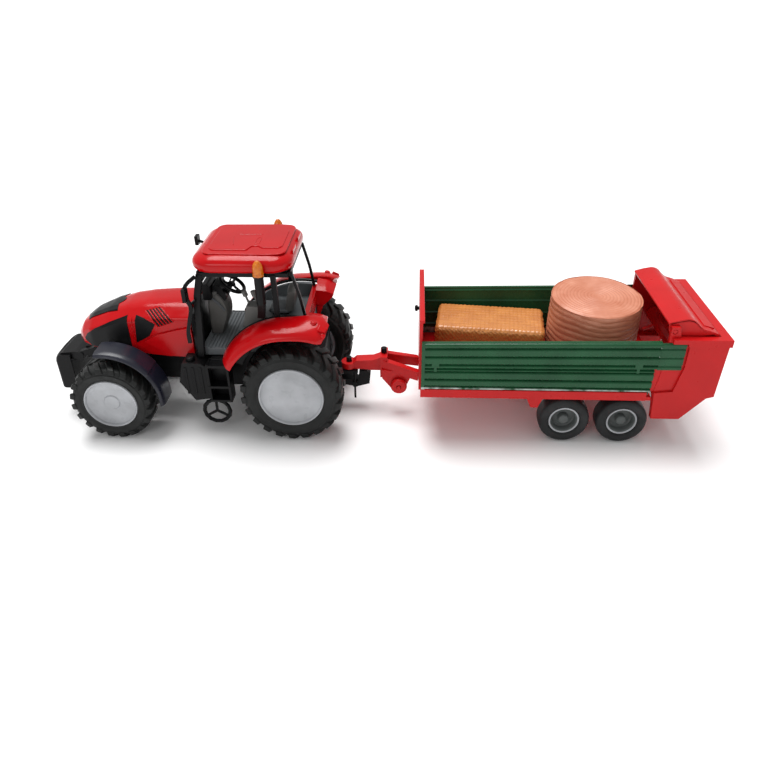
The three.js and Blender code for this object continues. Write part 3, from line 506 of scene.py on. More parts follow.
def studio():
    """A white room: a wide sun from above, a soft light in front and a pale floor."""
    scene = bpy.context.scene
    scene.view_settings.view_transform = "Standard"
    world = bpy.data.worlds.new("studio")
    scene.world = world
    world.use_nodes = True
    background = world.node_tree.nodes["Background"]
    background.inputs["Color"].default_value = (1, 1, 1, 1)
    background.inputs["Strength"].default_value = 0.5
    overhead = lamp("overhead_light", "SUN", 3.0)
    overhead.data.angle = math.radians(38)
    overhead.rotation_euler = (math.radians(-16), math.radians(-8), 0)
    front = lamp("front_light", "AREA", 1.3)
    front.data.shape = "RECTANGLE"
    front.data.size, front.data.size_y = 0.35, 0.25
    front.location = (-0.45, -0.85, 0.6)
    front.rotation_euler = (Vector((0, 0, 0.05)) - front.location).to_track_quat("-Z", "Y").to_euler()
    reach = 12.0
    mesh = bpy.data.meshes.new("floor")
    mesh.from_pydata([(x * reach, y * reach, 0) for x, y in ((-1, -1), (1, -1), (1, 1), (-1, 1))],
                     [], [(0, 1, 2, 3)])
    material, tree, bsdf, where = shader("floor")
    tone = noise_of(tree, where, 6, 3)
    tree.links.new(blended(tree, tone, (0.93, 0.93, 0.93), (0.96, 0.96, 0.96)), bsdf.inputs["Base Color"])
    bsdf.inputs["Roughness"].default_value = 0.6
    mesh.materials.append(material)
    floor = placed("floor", mesh)


# ---- wheels
def lug(stations, width, taper):
    """A tread block: stations are (place, outward direction, sideways direction, height)."""
    rings = []
    for place, out, sideways, height in stations:
        half = sideways * (width / 2)
        top = place + out * height
        rings.append([tuple(p) for p in (place - half, top - half * taper, top + half * taper, place + half)])
    return loft(rings)


def tyre_profile(shoulder, centre, steps):
    """Both halves of a tyre's outline, from points of (distance from the middle, radius) on one half."""
    line = [(v.y, v.x) for v in smooth_line([(t, r, 0) for t, r in shoulder], steps)]
    return [(r, centre + t) for r, t in reversed(line)] + [(r, centre - t) for r, t in line[1:]]


def tractor_tyre(x, radius, inner, outer, rim, count, lug_width, lug_height):
    """Carcass with a rounded shoulder, and two rows of slanted lugs that wrap the shoulder."""
    centre = middle(inner, outer)
    half = (outer - inner) / 2
    crown = radius - lug_height
    shoulder = [
        (0, crown), (half * 0.3, crown - 0.1), (half * 0.62, crown - 0.5), (half * 0.82, crown - 1.4),
        (half * 0.93, crown - 2.9), (half * 0.985, crown - 5), (half, (crown + rim) / 2 + 0.5),
        (half * 0.97, rim + 3), (half * 0.93, rim + 1.6), (half * 0.93, rim + 0.3),
    ]
    carcass = turned(tyre_profile(shoulder, centre, 3), 112, across(x, radius))
    blocks = []
    wrap = [(half * 0.07, crown - 0.4, 0), (half * 0.4, crown - 0.5, 0), (half * 0.72, crown - 1.1, 0),
            (half * 0.9, crown - 2.2, 0.45), (half * 0.955, crown - 3.8, 0.9)]
    slant = math.radians(360 / count * 0.75)
    for row in (1, -1):
        for k in range(count):
            start = 2 * math.pi * (k + (0.5 if row < 0 else 0)) / count
            stations = []
            for t, r, lean in wrap:
                angle = start - slant * (t / half)
                radial = Vector((math.cos(angle), 0, math.sin(angle)))
                sideways = Vector((-math.sin(angle), 0, math.cos(angle)))
                place = Vector((x, centre + row * t, radius)) + radial * r
                out = (radial * (1 - lean * 0.55) + Vector((0, row, 0)) * lean * 0.25).normalized()
                reach = lug_height + (crown - r) * (1 - lean) * 0.75
                if lean:
                    reach = (radius - r) * (1.05 - lean) + 0.45
                stations.append((place, out, sideways, reach))
            blocks.append(lug(stations, lug_width, 0.8))
    return carcass, together(*blocks)


# For each end: rim radius, number of lugs in a row, width and height of a lug, and the rim's face from its
# middle outwards as (share of the rim's radius, depth below its outer edge).
WHEELS = {
    "rear": (24, 22, 6.4, 1.6,
             [(0, 4.2), (0.3, 4.2), (0.56, 4.0), (0.585, 4.25), (0.7, 4.1), (0.8, 3.6), (0.88, 2.8),
              (0.925, 2.1), (0.94, 0.7), (0.958, 0.2), (0.985, 0.2), (1, 0.9)]),
    "front": (19.8, 20, 5.4, 1.4,
              [(0, 2.9), (0.2, 2.9), (0.27, 3.1), (0.31, 4.0), (0.5, 4.1), (0.7, 3.8), (0.84, 2.8),
               (0.915, 2.0), (0.932, 0.7), (0.953, 0.2), (0.985, 0.2), (1, 0.9)]),
}


def wheels():
    for end, (rim, count, lug_width, lug_height, profile) in WHEELS.items():
        x, radius, inner, outer = wheel_place(f"{end}_tyre_right")
        own = {s: "rear_wheels" if end == "rear" else f"front_wheel_{s}" for s in ("left", "right")}
        carcass, blocks = tractor_tyre(x, radius, inner, outer, rim, count, lug_width, lug_height)
        pair(f"{end}_tyre", carcass, None, "tractor_tyre", 0, bodies=own)
        pair(f"{end}_tyre_lugs", blocks, None, "tractor_tyre", 0.3, 1, bodies=own, replace=False)
        face = [(max(rim * share, 0.001), outer - depth) for share, depth in profile]
        back = [(rim, inner + 2), (rim - 2, inner + 2)] + [(r, outer - 7) for r in (rim - 2.6, 4, 0.001)]
        dish = turned(face + back, 96, across(x, radius), closed=False)
        pair(f"{end}_rim", dish, None, "rim_grey", 0, bodies=own)


def trailer_wheels():
    for end in ("front", "rear"):
        x, radius, inner, outer = wheel_place(f"trailer_{end}_tyre_right")
        rim = 11.4
        half = (outer - inner) / 2
        shoulder = [(0, radius - 0.1), (half * 0.5, radius - 0.15), (half * 0.78, radius - 0.7),
                    (half * 0.93, radius - 2), (half, radius - 3.8), (half * 0.96, rim + 1.2),
                    (half * 0.86, rim + 0.5), (half * 0.84, rim)]
        tyre = turned(tyre_profile(shoulder, middle(inner, outer), 4), 80, across(x, radius))
        lip = [(0, 2.3), (2.9, 2.3), (3.5, 2.7), (3.8, 3.4), (3.9, 6.8), (7.2, 7.2), (8.4, 6.4), (8.8, 3.0),
               (9.5, 1.9), (10.3, 1.5), (11, 1.7), (rim, 2.4)]
        back = [(rim, 12), (9, 12), (8.4, 9), (3.5, 9), (0, 9)]
        dish = turned([(max(r, 0.001), outer - d) for r, d in lip + back], 64, across(x, radius),
                      closed=False)
        ring = turned([(r, outer - d) for r, d in ((9.7, 1.9), (10.1, 1.3), (10.9, 1.3), (11.2, 1.9))], 64,
                      across(x, radius))
        body = f"trailer_{end}_wheels"
        pair(f"trailer_{end}_tyre", tyre, body, "trailer_tyre", 0)
        pair(f"trailer_{end}_rim", dish, body, "trailer_rim", 0)
        pair(f"trailer_{end}_rim_ring", ring, body, "rim_grey", 0, replace=False)


# ---- bonnet
def hood_at(x):
    """Lower edge, side line, top and half width of the bonnet at x."""
    return [between(x, [(station[0], station[k]) for station in HOOD]) for k in (1, 2, 3, 4)]


def crown(side, top, half):
    """The bonnet's cross section over its side line, from the middle outwards, as (y, z) points."""
    return [(0, top), (half * 0.32, top - 0.2), (half * HOOD_CROWN, top - 1.3), (half, side)]


def hood_side_y(x, z):
    """Half width of the bonnet's surface at x and height z."""
    _, side, top, half = hood_at(x)
    shoulder_y, shoulder_z = crown(side, top, half)[2]
    return between(z, [(side, half), (shoulder_z, shoulder_y)])


def hood_top_z(x, y):
    _, side, top, half = hood_at(x)
    return between(abs(y), crown(side, top, half))


def side_sheet(first, last, proud, steps=24, rungs=10, upright_lines=False):
    """A sheet on the bonnet's right side from a first to a last line of (x, z) points.

    Lines that stand upright have (z, x) points instead.
    """
    grid = []
    for u in spread(first[0][0], first[-1][0], steps):
        rung = [(u, v) for v in spread(between(u, first), between(u, last), rungs)]
        if upright_lines:
            rung = [(x, z) for z, x in rung]
        grid.append([(x, hood_side_y(x, z) + proud, z) for x, z in rung])
    return loft(grid, ring_closed=False)


def side_bar(points, width, proud):
    """A narrow bar on the bonnet's right side along a line of (x, z) points."""
    grid = []
    for start, end in zip(points, points[1:]):
        for share in spread(0, 1, 6):
            x, z = Vector(start).lerp(Vector(end), share)
            grid.append([(x + w, hood_side_y(x + w, z) + proud, z) for w in (-width / 2, 0, width / 2)])
    return loft(grid, ring_closed=False)


def bonnet():
    xs = [v.x for v in smooth_line([(s[0], 0, 0) for s in HOOD], 6)]
    rings = []
    for x in xs:
        low, side, top, half = hood_at(x)
        right = [(half, low)] + crown(side, top, half)[::-1]
        curve = softened(right, [0, 2.2, 3.0, 3.0, 0], 4, closed=False)
        ring = [(x, y, z) for y, z in curve]
        rings.append(ring + [(x, -y, z) for x, y, z in reversed(ring[:-1])])
    corners, faces = loft(rings, ring_closed=False)
    faces.append(tuple(reversed(range(len(rings[0])))))
    piece("bonnet_shell", (corners, faces), "tractor", "tractor_red", ("hood",), 0.4, 2, thickness=1.6)

    grille = side_sheet([(-161, 64), (-155.5, 60.6), (-136, 60.6), (-122.4, 60)],
                        [(-161, 66), (-158, 70.2), (-150, 75.9), (-137.4, 81.9), (-122.4, 87.4)], 0.35)
    cheek = side_sheet([(66.7, -118.2), (87.9, -115.6)],
                       [(66.7, -117.6), (72.5, -107.2), (82.4, -101.2), (87.2, -109.5), (87.9, -115)],
                       0.35, 22, upright_lines=True)
    inlay = {"thickness": 0.8, "edge": 0.15, "segments": 1}
    piece("bonnet_side_grilles", both_sides(together(grille, cheek)), "tractor", "black_plastic", **inlay)

    stripe_half = 14.4
    top_line = [(0, -160.6), (11, -157), (12.6, -143.6), (stripe_half, -132.6)]
    tail_line = [(0, -129.6), (3, -130.4), (5.7, -133.5), (stripe_half, -131.7)]
    rows = []
    for y in spread(-stripe_half, stripe_half, 72):
        start, end = between(abs(y), top_line), between(abs(y), tail_line)
        rows.append([(x, y, hood_top_z(x, y) + 0.35) for x in spread(start, end, 16)])
    piece("bonnet_top_stripe", loft(rows, ring_closed=False), "tractor", "black_plastic", **inlay)

    slots, ribs = [], []
    slot_count = 5
    first_rib = ((-108.7, 90.5), (-103, 86.6), (-99.3, 80.2))
    last_rib = ((-97.9, 92.6), (-88.4, 87.2), (-86.8, 84.8))

    def vent_line(share):
        return [tuple(Vector(a).lerp(Vector(b), share)) for a, b in zip(first_rib, last_rib)]

    for k in range(slot_count + 1):
        ribs.append(side_bar(vent_line(k / slot_count), 0.9, 0.5))
        if k < slot_count:
            slots.append(side_bar(vent_line((k + 0.5) / slot_count), 1.5, 0.12))
    piece("bonnet_vent_slots", both_sides(together(*slots)), "tractor", "black_plastic",
          thickness=0.4, edge=0)
    piece("bonnet_vent_ribs", both_sides(together(*ribs)), "tractor", "tractor_red",
          thickness=0.7, edge=0.15, segments=1)

    swoosh = side_sheet([(-111, 68), (-100.2, 62), (-94, 57), (-74.2, 56.5)],
                        [(-111, 68.6), (-100.6, 74.4), (-87.2, 78.2), (-74.2, 81)], 1.9, 20, 8)
    piece("bonnet_side_fairings", both_sides(swoosh), "tractor", "tractor_red",
          thickness=2.4, edge=1.1, segments=4)
    seams = [side_sheet([(x, low), (x + 0.8, low)], [(x, high), (x + 0.8, high)], 0.5, 2, 12)
             for x, low, high in ((-119.4, 60, 87), (-74.9, 58, 90))]
    piece("bonnet_seam_beads", both_sides(together(*seams)), "tractor", "tractor_red",
          thickness=0.8, edge=0.15)


# ---- roof
def roof_outline(inset):
    """The roof's outline in X and Y, drawn in by inset, with its round corners."""
    low, high = cad_box("cab_roof")
    x0, x1 = low.x + inset, high.x - inset
    half = (high.y - low.y) / 2 - inset
    corner = max(15 - inset * 0.4, 2)
    points = []
    for cx, cy, start in ((x1 - corner, half - corner, 0), (x0 + corner, half - corner, 90),
                          (x0 + corner, corner - half, 180), (x1 - corner, corner - half, 270)):
        points += [arc_point(cx, cy, corner, degrees) for degrees in spread(start, start + 90, 10)]
    return points


def roof():
    low, high = cad_box("cab_roof")
    bottom, top = low.z, high.z
    levels = [(bottom, 3.2), (bottom + 1.2, 1.2), (bottom + 3, 0.2), (bottom + 5.5, 0), (bottom + 7, 0.3),
              (bottom + 8.4, 1.1), (bottom + 9.8, 2.8), (bottom + 10.8, 4.6), (bottom + 11.5, 6.4),
              (top - 1.6, 8), (top - 1.45, 11)]
    rings = [[(x, y, z) for x, y in roof_outline(inset)] for z, inset in levels]
    piece("roof_shell", loft(rings), "tractor", "tractor_red", ("cab_roof",), 0)
    # Moulded relief: a broad deck, and on it a panel whose sides step in towards the rear.
    deck = softened([(-55, -29), (-12, -30), (-3, -28.5), (0.2, -24), (0.2, 24), (-3, 28.5), (-12, 30),
                     (-55, 29), (-58.5, 24), (-58.5, -24)], 3)
    panel_side = [(-52, 23.2), (-27.5, 23.2), (-25, 15.6), (-20.5, 15.4), (-17.5, 18.8), (-5.5, 18.8),
                  (-3.4, 15)]
    panel = [(x, -y) for x, y in panel_side] + list(reversed(panel_side)) + [(-55, 19), (-55, -19)]
    outline = softened(panel, 1.3)
    decks = together(plate(deck, (top - 1.8, top - 0.9)), plate(outline, (top - 1.3, top - 0.3)))
    piece("roof_deck", decks, "tractor", "tractor_red", edge=0.4, segments=3)
    hatch = [tube([(-41.5, 2, top - 0.32), (-38.5, -14, top - 0.32)], 0.3, 8),
             tube([(-37.5, 6, top - 0.32), (-21.5, 6, top - 0.32)], 0.3, 8)]
    latch = softened([(-23.6, -11.5), (-20.6, -11.5), (-20.6, -0.5), (-23.6, -0.5)], 0.8)
    latch_rim = tube([(x, y, top - 0.37) for x, y in latch], 0.35, 8, closed=True)
    vents = [box((3.1, 4.2), (y - 6, y + 6), (top - 5, top - 2.6)) for y in (-12, 12)]
    piece("roof_relief", together(*hatch, latch_rim, *vents), "tractor", "tractor_red", edge=0)
    underside = plate([(x, y) for x, y in roof_outline(1.9)], (bottom - 0.05, bottom + 1.4))
    piece("roof_underside", underside, "tractor", "black_plastic", edge=0.3)


# ---- fenders
def rear_fenders():
    """A sheet swept round the rear wheel, with a lifted and rounded tail and a return behind the cab."""
    rings = []
    for degrees in spread(151, 61.5, 48):
        t = min(1, max(0, (92 - degrees) / 28))
        lift = 5.5 * t * t * (3 - 2 * t)
        tail = max(0, (68 - degrees) / 6.5) ** 2
        outer = [(54.2, 33.4), (56.6 + lift, 33.4), (56.4 + lift, 40), (55 + lift * 0.8, 47),
                 (52 + lift * 0.6, 52.4), (49.6 + lift * 0.4, 54.2), (47.6 + lift * 0.4, 54.2),
                 (47.6 + lift * 0.4, 52.4), (50.2 + lift * 0.4, 50.6), (52.4 + lift * 0.5, 45.6),
                 (54 + lift * 0.4, 39)]
        section = softened(outer, [0.4, 1.6, 4, 5, 2.4, 1.2, 0.6, 0.6, 3, 4, 4], 3)
        ring = []
        for radius, y in section:
            outward = max(0, (y - 44) / 10)
            inward = max(0, (41 - y) / 7.6)
            raised = radius + 0.9 * tail * outward - 1.5 * tail * inward
            pulled = y - 2.4 * tail * outward
            x, z = arc_point(0, REAR_RADIUS, raised, degrees + 4.5 * tail * inward)
            ring.append((x, pulled, z))
        rings.append(ring)
    pair("rear_fender", loft(rings), "tractor", "tractor_red", 0.6, 3)
    sections = []
    for y, rise, back in ((19, 0, 0), (20.5, 1.0, 0), (27, 2.6, 0.4), (34.4, 4.4, 0.8)):
        outline = [(12.4, 77.2), (17.4, 77.4), (24.4 + back, 84), (26.3 + back, 87.2 + rise * 0.5),
                   (21, 89.4 + rise), (12.4, 90.4 + rise)]
        sections.append([(x, y, z) for x, z in softened(outline, [0.3, 1, 1.2, 1, 2, 0.3], 4)])
    foot = slab(softened([(12.4, 70), (14.6, 70), (17.6, 78), (12.4, 78)], 0.4), (19, 25.2))
    pair("rear_fender_return", together(loft(sections), foot), "tractor", "tractor_red", 0.5, 3,
         replace=False)
    lamps = []
    for degrees, y, length, width in ((65.2, 47.4, 5.6, 5), (62.9, 50.6, 3.2, 2.6)):
        x, z = arc_point(0, REAR_RADIUS, 59.6 if y < 48 else 57, degrees)
        lean = Matrix.Translation((x, y, z)) @ rotation(90 - degrees, "Y")
        lamps.append(moved(box((-length / 2, length / 2), (-width / 2, width / 2), (-2.4, 1.0)),
                           lean @ rotation(-24, "X")))
    x, z = arc_point(0, REAR_RADIUS, 60.4, 71.5)
    lean = Matrix.Translation((x, 43.4, z)) @ rotation(18, "Y")
    boss = [(2.3, -2.4), (2.3, 0.2), (1.6, 0.8), (0.01, 0.9)]
    lamps.append(turned(boss, 24, lean, closed=False))
    pair("fender_lamps", together(*lamps), "tractor", "tractor_red", 0.5, 3, replace=False)


def front_fenders():
    """Rolled mudguards over and behind the front wheels, folded once where the rear flap begins."""
    centre_x, side = -135.6, 50.5
    start, fold, end = 98, 36, -6
    rings = []
    for degrees in (*spread(start, fold + 0.6, 44), *spread(fold - 0.6, end, 28)):
        grow = 0 if degrees > fold else -0.5
        outer = [(38.2, 31), (40 + grow, 31), (40 + grow, side - 4), (39.2 + grow, side - 1.2),
                 (37.8 + grow, side), (36.8, side), (36.8, side - 0.8), (38, side - 2.4)]
        section = softened(outer, [0.3, 0.6, 3, 1.6, 1, 0.3, 0.3, 1.5], 3)
        swept = [(*arc_point(centre_x, FRONT_RADIUS, radius, degrees), y) for radius, y in section]
        rings.append([(x, y, z) for x, z, y in swept])
    pair("front_fender", loft(rings), "front_axle", "fender_black", 0.3, 2)
    stay = box((-136.4, -132.4), (27.2, 32.2), (66.3, 69.6))
    pair("front_fender_stay", stay, "front_axle", "black_plastic", 0.6, replace=False)


def front_weight():
    """The weight across the nose: a block under a grooved lid, with two arms back to the chassis."""
    half, front, back = 18, -190, -176.2
    rings = []
    for z, inset in ((21, 0.8), (21.8, 0), (45, 0), (47.6, 0.7), (49.6, 2), (50.4, 3.4)):
        side = [(back, half), (front + 1.4 + inset, half), (front + inset, half - 4)]
        plan = [(x, -y) for x, y in side] + [(front + inset * 0.7, 0)] + side[::-1]
        rings.append([(x, y, z) for x, y in softened(plan, [0.5, 2, 3, 4, 3, 2, 0.5], 4)])
    lid = softened([(-185.8, 48.6), (-167.4, 44.8), (-166.5, 51.4), (-172, 52.9), (-184.6, 51.6)],
                   [0.4, 1, 1.2, 2, 1.4], 4)
    arm = softened([(-174, 51), (-158, 56), (-152.4, 60), (-152.4, 57), (-157, 52), (-172, 46.5)], 0.8, 3)
    arms = both_sides(slab(arm, (10, 15)))
    piece("front_weight_fine", together(loft(rings), slab(lid, (-15.6, 15.6)), arms), "tractor",
          "black_plastic", ("front_weight_block",), 0.7, 3)


# ---- cab
def steering_wheel():
    centre, tilt, reach = Vector((-46.8, 0, 104.2)), 32, 9.6
    lean = Matrix.Translation(centre) @ rotation(tilt, "Y")
    ring = tube([(*arc_point(0, 0, reach, 360 * k / 64), 0) for k in range(64)], 1.4, 14, closed=True)
    spokes = []
    for degrees in (90, 210, 330):
        out = Vector((*arc_point(0, 0, 1, degrees), 0))
        spokes.append(tube([out, out * 4 + Vector((0, 0, -0.4)), out * reach], 1.0, 10))
    hub = turned([(0.01, -1), (2.3, -1), (2.5, 0.4), (2, 1.1), (0.01, 1.2)], 28, upright(0, 0),
                 closed=False)
    piece("steering_wheel_fine", moved(together(ring, *spokes, hub), lean), "steering_wheel", "black_plastic",
          ("steering_wheel",), 0)


def console():
    """The column's cowl, drawn in towards both sides, with the cluster, the dashboard and two stalks."""
    line = [(-66.4, 66.4), (-66.2, 84), (-65, 97), (-61.8, 102.3), (-57, 101), (-52.4, 95.6), (-50.2, 89),
            (-50.4, 81), (-53.6, 73), (-56, 66.4)]
    outline = smooth_line([(x, 0, z) for x, z in line], 4)
    middle_x, half = -58, 8
    sections = []
    for y in spread(-half, half, 8):
        pull = (abs(y) / half) ** 4 * 1.6
        sections.append([(p.x + (pull if p.x < middle_x else -pull), y, p.z - (pull if p.z > 90 else 0))
                         for p in outline])
    piece("steering_console_fine", loft(sections), "tractor", "dark_grey", ("steering_console",), 0.8, 3)
    column = tube([(-54.5, 0, 92.8), (-47.9, 0, 103.2)], [2.6, 1.5], 16)
    cluster = [(-60.6, 101), (-60, 106.4), (-54, 104.6), (-50.2, 96.4), (-52.5, 92.5)]
    dashboard = [(-66.5, 96), (-60.4, 96), (-60.4, 105.6), (-62.4, 108.9), (-66.5, 108.9)]
    blocks = [slab(softened(cluster, 1.5), (-7, 7)), slab(softened(dashboard, 1), (-12, 12))]
    stalks = both_sides(tube([(-51.5, 2, 100.5), (-50.4, 7, 103.2), (-49.6, 9.6, 104.8)], 0.6, 8))
    piece("steering_column_cluster", together(column, *blocks, stalks), "tractor", "black_plastic", edge=0.6)
    trim = tube(smooth_line([(-63.6, 8.05, 98), (-57, 8.3, 92), (-52.8, 8.1, 86)], 5), 0.9, 8)
    piece("console_trim", both_sides(trim), "tractor", "cab_grey", edge=0)


def seat():
    centre_x, half_x, half_y = -11.75, 8.25, 9
    cushion = softened([(-half_x, -half_y), (half_x, -half_y), (half_x, half_y), (-half_x, half_y)], 3.5, 5)

    def drawn_in(value, inset):
        return value - math.copysign(min(inset, abs(value)), value)

    rings = []
    for z, inset in ((84, 1.2), (84.6, 0.3), (86.2, 0), (87.4, 0.8), (88, 2.6)):
        rings.append([(centre_x + drawn_in(x, inset), drawn_in(y, inset), z) for x, y in cushion])
    piece("seat_cushion", loft(rings), "tractor", "cab_grey", ("driver_seat",), 0.5, 3)
    back = softened([(-7.4, 86), (-1.2, 86), (1.4, 102.6), (-0.8, 104.2), (-4.6, 103.4)], 1.4)
    sections = []
    for y in spread(-8.5, 8.5, 10):
        drop = (abs(y) / 8.5) ** 3 * 2.2
        sections.append([(x, y, z - (drop if z > 100 else 0)) for x, z in back])
    piece("seat_back", loft(sections), "tractor", "dark_grey", edge=0.6, segments=3)
    piece("seat_pedestal", box((-17, -5), (-7, 7), (82.5, 84.6)), "tractor", "black_plastic", edge=0.5)


def beacons():
    """Fluted amber domes on black collars."""
    low, high = cad_box("beacon_lens_right")
    x, y = middle(low.x, high.x), middle(low.y, high.y)
    radius = (high.x - low.x) / 2
    rings = []
    for z, share in ((low.z, 0.98), (low.z + 1.4, 1), (low.z + 1.5, 0.93), (low.z + 6.2, 0.9),
                     (low.z + 8.2, 0.78), (low.z + 9.8, 0.52), (high.z - 0.3, 0.3), (high.z, 0.05)):
        ring = []
        for k in range(48):
            flute = 0.95 if k % 4 == 0 and 1.45 < z - low.z < 9 else 1
            ring.append((*arc_point(x, y, radius * share * flute, 360 * k / 48), z))
        rings.append(ring)
    pair("beacon_lens", loft(rings), "tractor", "amber_lens", 0)
    collar = turned([(radius * 0.5, low.z - 0.9), (radius * 1.0, low.z - 0.9), (radius * 1.03, low.z - 0.5),
                     (radius * 0.98, low.z + 0.15), (radius * 0.5, low.z + 0.15)], 32, upright(x, y))
    pair("beacon_collar", collar, "tractor", "black_plastic", 0, replace=False)


def cab_details():
    ribs = [box((x, x + 1.1), (-29, 29), (66, 66.7)) for x in spread(-64, -41, 9)]
    piece("cab_floor_ribs", together(*ribs), "tractor", "cab_grey", edge=0.25)
    sill = together(box((11.6, 12.5), (-19.4, 19.4), (79, 90.6)), box((8.7, 12.5), (-30, 30), (89.7, 91)))
    piece("cab_rear_sill", sill, "tractor", "tractor_red", edge=0.35)
    arc = [arc_point(0, REAR_RADIUS, 55.6, degrees) for degrees in spread(149, 77, 24)]
    trim = tube([(x, 31.6, z) for x, z in arc], 1.2, 8)
    piece("cab_sill_trim", both_sides(trim), "tractor", "black_plastic", edge=0)
    # On each tank: a filler cap and three pressed ribs.
    cap = turned([(0.01, 59), (3.4, 59), (3.4, 62.2), (2.8, 62.9), (0.01, 63)], 24, upright(-75, 37))
    bands = [box((x, x + 2), (42.4, 43.5), (34, 57)) for x in (-79, -73.4, -67.8)]
    pair("tank_details", together(cap, *bands), "tractor", "black_plastic", 0.4, replace=False)


# ---- trailer
def trailer_walls():
    """Side walls with rounded boards outside and narrow rails inside; the top falls towards the front."""
    low, high = cad_box("trailer_side_wall_right")
    outer, groove, inner = high.y, high.y - 1.7, high.y - 4.1
    floor, top, drop = 41, 85, 3

    def boards(bottom, upper_edge, ridges, x, back=inner, face=groove):
        line = [(back, bottom), (face, bottom)]
        for a, b in ridges:
            line += softened([(face, a), (outer, a + 0.35), (outer, b - 0.8), (face, b)],
                             [0.2, 0.8, 1.0, 0.3], 4)
        return lengthways(line + [(face, upper_edge), (back, upper_edge)], x)

    start, rear, lower_end, step = low.x, high.x, 256.4, 258
    upper_boards = [(63.9, 66.6), (67.4, 73.4), (74.2, 80.4), (81.2, top - 0.2)]
    lower_boards = [(45.2, 47.4), (48.2, 53.6), (54.4, 60.6), (61.2, 63.2)]
    lower = boards(44.9, 63.4, lower_boards, (start + 2.2, lower_end))
    upper = boards(63.4, top, upper_boards, (start + 2.2, step))
    tail = boards(63.4, top, upper_boards, (step - 0.1, rear), outer - 1.1, outer - 0.8)
    foot = box((start, lower_end), (44.4, 45.8), (low.z, 50))
    post = box((start, start + 2.4), (inner - 0.2, outer - 0.1), (45, top - 0.1))
    ledge = [(0.4, -0.6), (-0.9, 0), (-0.9, 0.4), (0.4, 1.9)]
    rails = [lengthways([(inner + y, height + z) for y, z in ledge], (start + 3, 256))
             for height in (50, 61, 72, 82)]
    latches = []
    for x in (104, 245):
        latches.append(box((x - 2.6, x + 2.6), (outer - 1.2, outer - 0.05), (64.4, 70)))
        latches.append(box((x - 1, x + 1), (outer - 1.2, outer - 0.02), (61, 66)))
    corners, faces = together(lower, upper, tail, foot, post, *rails, *latches)
    leaning = []
    for x, y, z in corners:
        share = (z - floor) / (top - floor) * (rear - x) / (rear - start)
        leaning.append((x, y, z - drop * share))
    pair("trailer_side_wall", (leaning, faces), "trailer", "trailer_green", 0.25, 2)


def closing_plates():
    """Red plates that close the trailer's sides between the lower boards and the spreader housing."""
    outline = [(255.6, 45), (263, 45), (263, 67), (255.6, 67)]
    pair("closing_plate", slab(outline, (45, 46.8)), "trailer", "trailer_red", 0.2, 1, replace=False)


def front_wall_knob():
    """A small black knob on the front face of the trailer's front wall."""
    low, _ = cad_box("trailer_front_wall")
    knob = [(0.01, 0), (1.3, 0), (1.3, 1), (2.2, 1.4), (2.4, 2.6), (1.6, 3.4), (0.01, 3.5)]
    forward = Matrix.Translation((low.x, 0, 85.6)) @ rotation(-90, "Y")
    piece("front_wall_knob", turned(knob, 20, forward, closed=False), "trailer", "black_plastic", edge=0)


def spreader_hood():
    """The folding cover over the beater: a ridge with a lip, closed ends and pivot ears."""
    top = [(260.2, 98.4), (266, 100.2), (272.9, 101.6), (277.3, 100.4), (281, 96.6), (284.4, 93.8),
           (290, 92.2), (295.4, 90)]
    top = softened(top, [0, 1, 2, 2, 1, 1.2, 1, 0], 4, closed=False)
    under = [(x + 0.2, z - 1.7) for x, z in reversed(top)]
    sheet = slab(top + under, (-44.3, 44.3))
    cheek = softened([(260.6, 98), (272.9, 100.9), (277.3, 99.8), (284.2, 92.9), (292, 90), (284, 88.9),
                      (266, 88.9), (261.6, 91)], 1.2)
    cheeks = both_sides(slab(cheek, (42.3, 44.3)))
    pivot_low, pivot_high = 43, 47
    stub = turned([(0.01, pivot_low), (1.5, pivot_low), (1.5, pivot_high), (0.01, pivot_high)], 20,
                  across(264.5, 93), closed=False)
    hem = tube([(260.9, -44, 97.9), (260.9, 44, 97.9)], 0.9, 10)
    inset = slab([(286, 92.6), (293.6, 90.2), (293.8, 91.6), (286.4, 93.8)], (-38, 38))
    piece("spreader_hood_fine", together(sheet, cheeks, both_sides(stub), hem, inset), "spreader_hood",
          "trailer_red", ("spreader_hood",), 0.35, 2)


# ---- bales
def humps(place):
    """A row of round humps, each one unit wide and one unit high."""
    return abs(math.sin(math.pi * place))


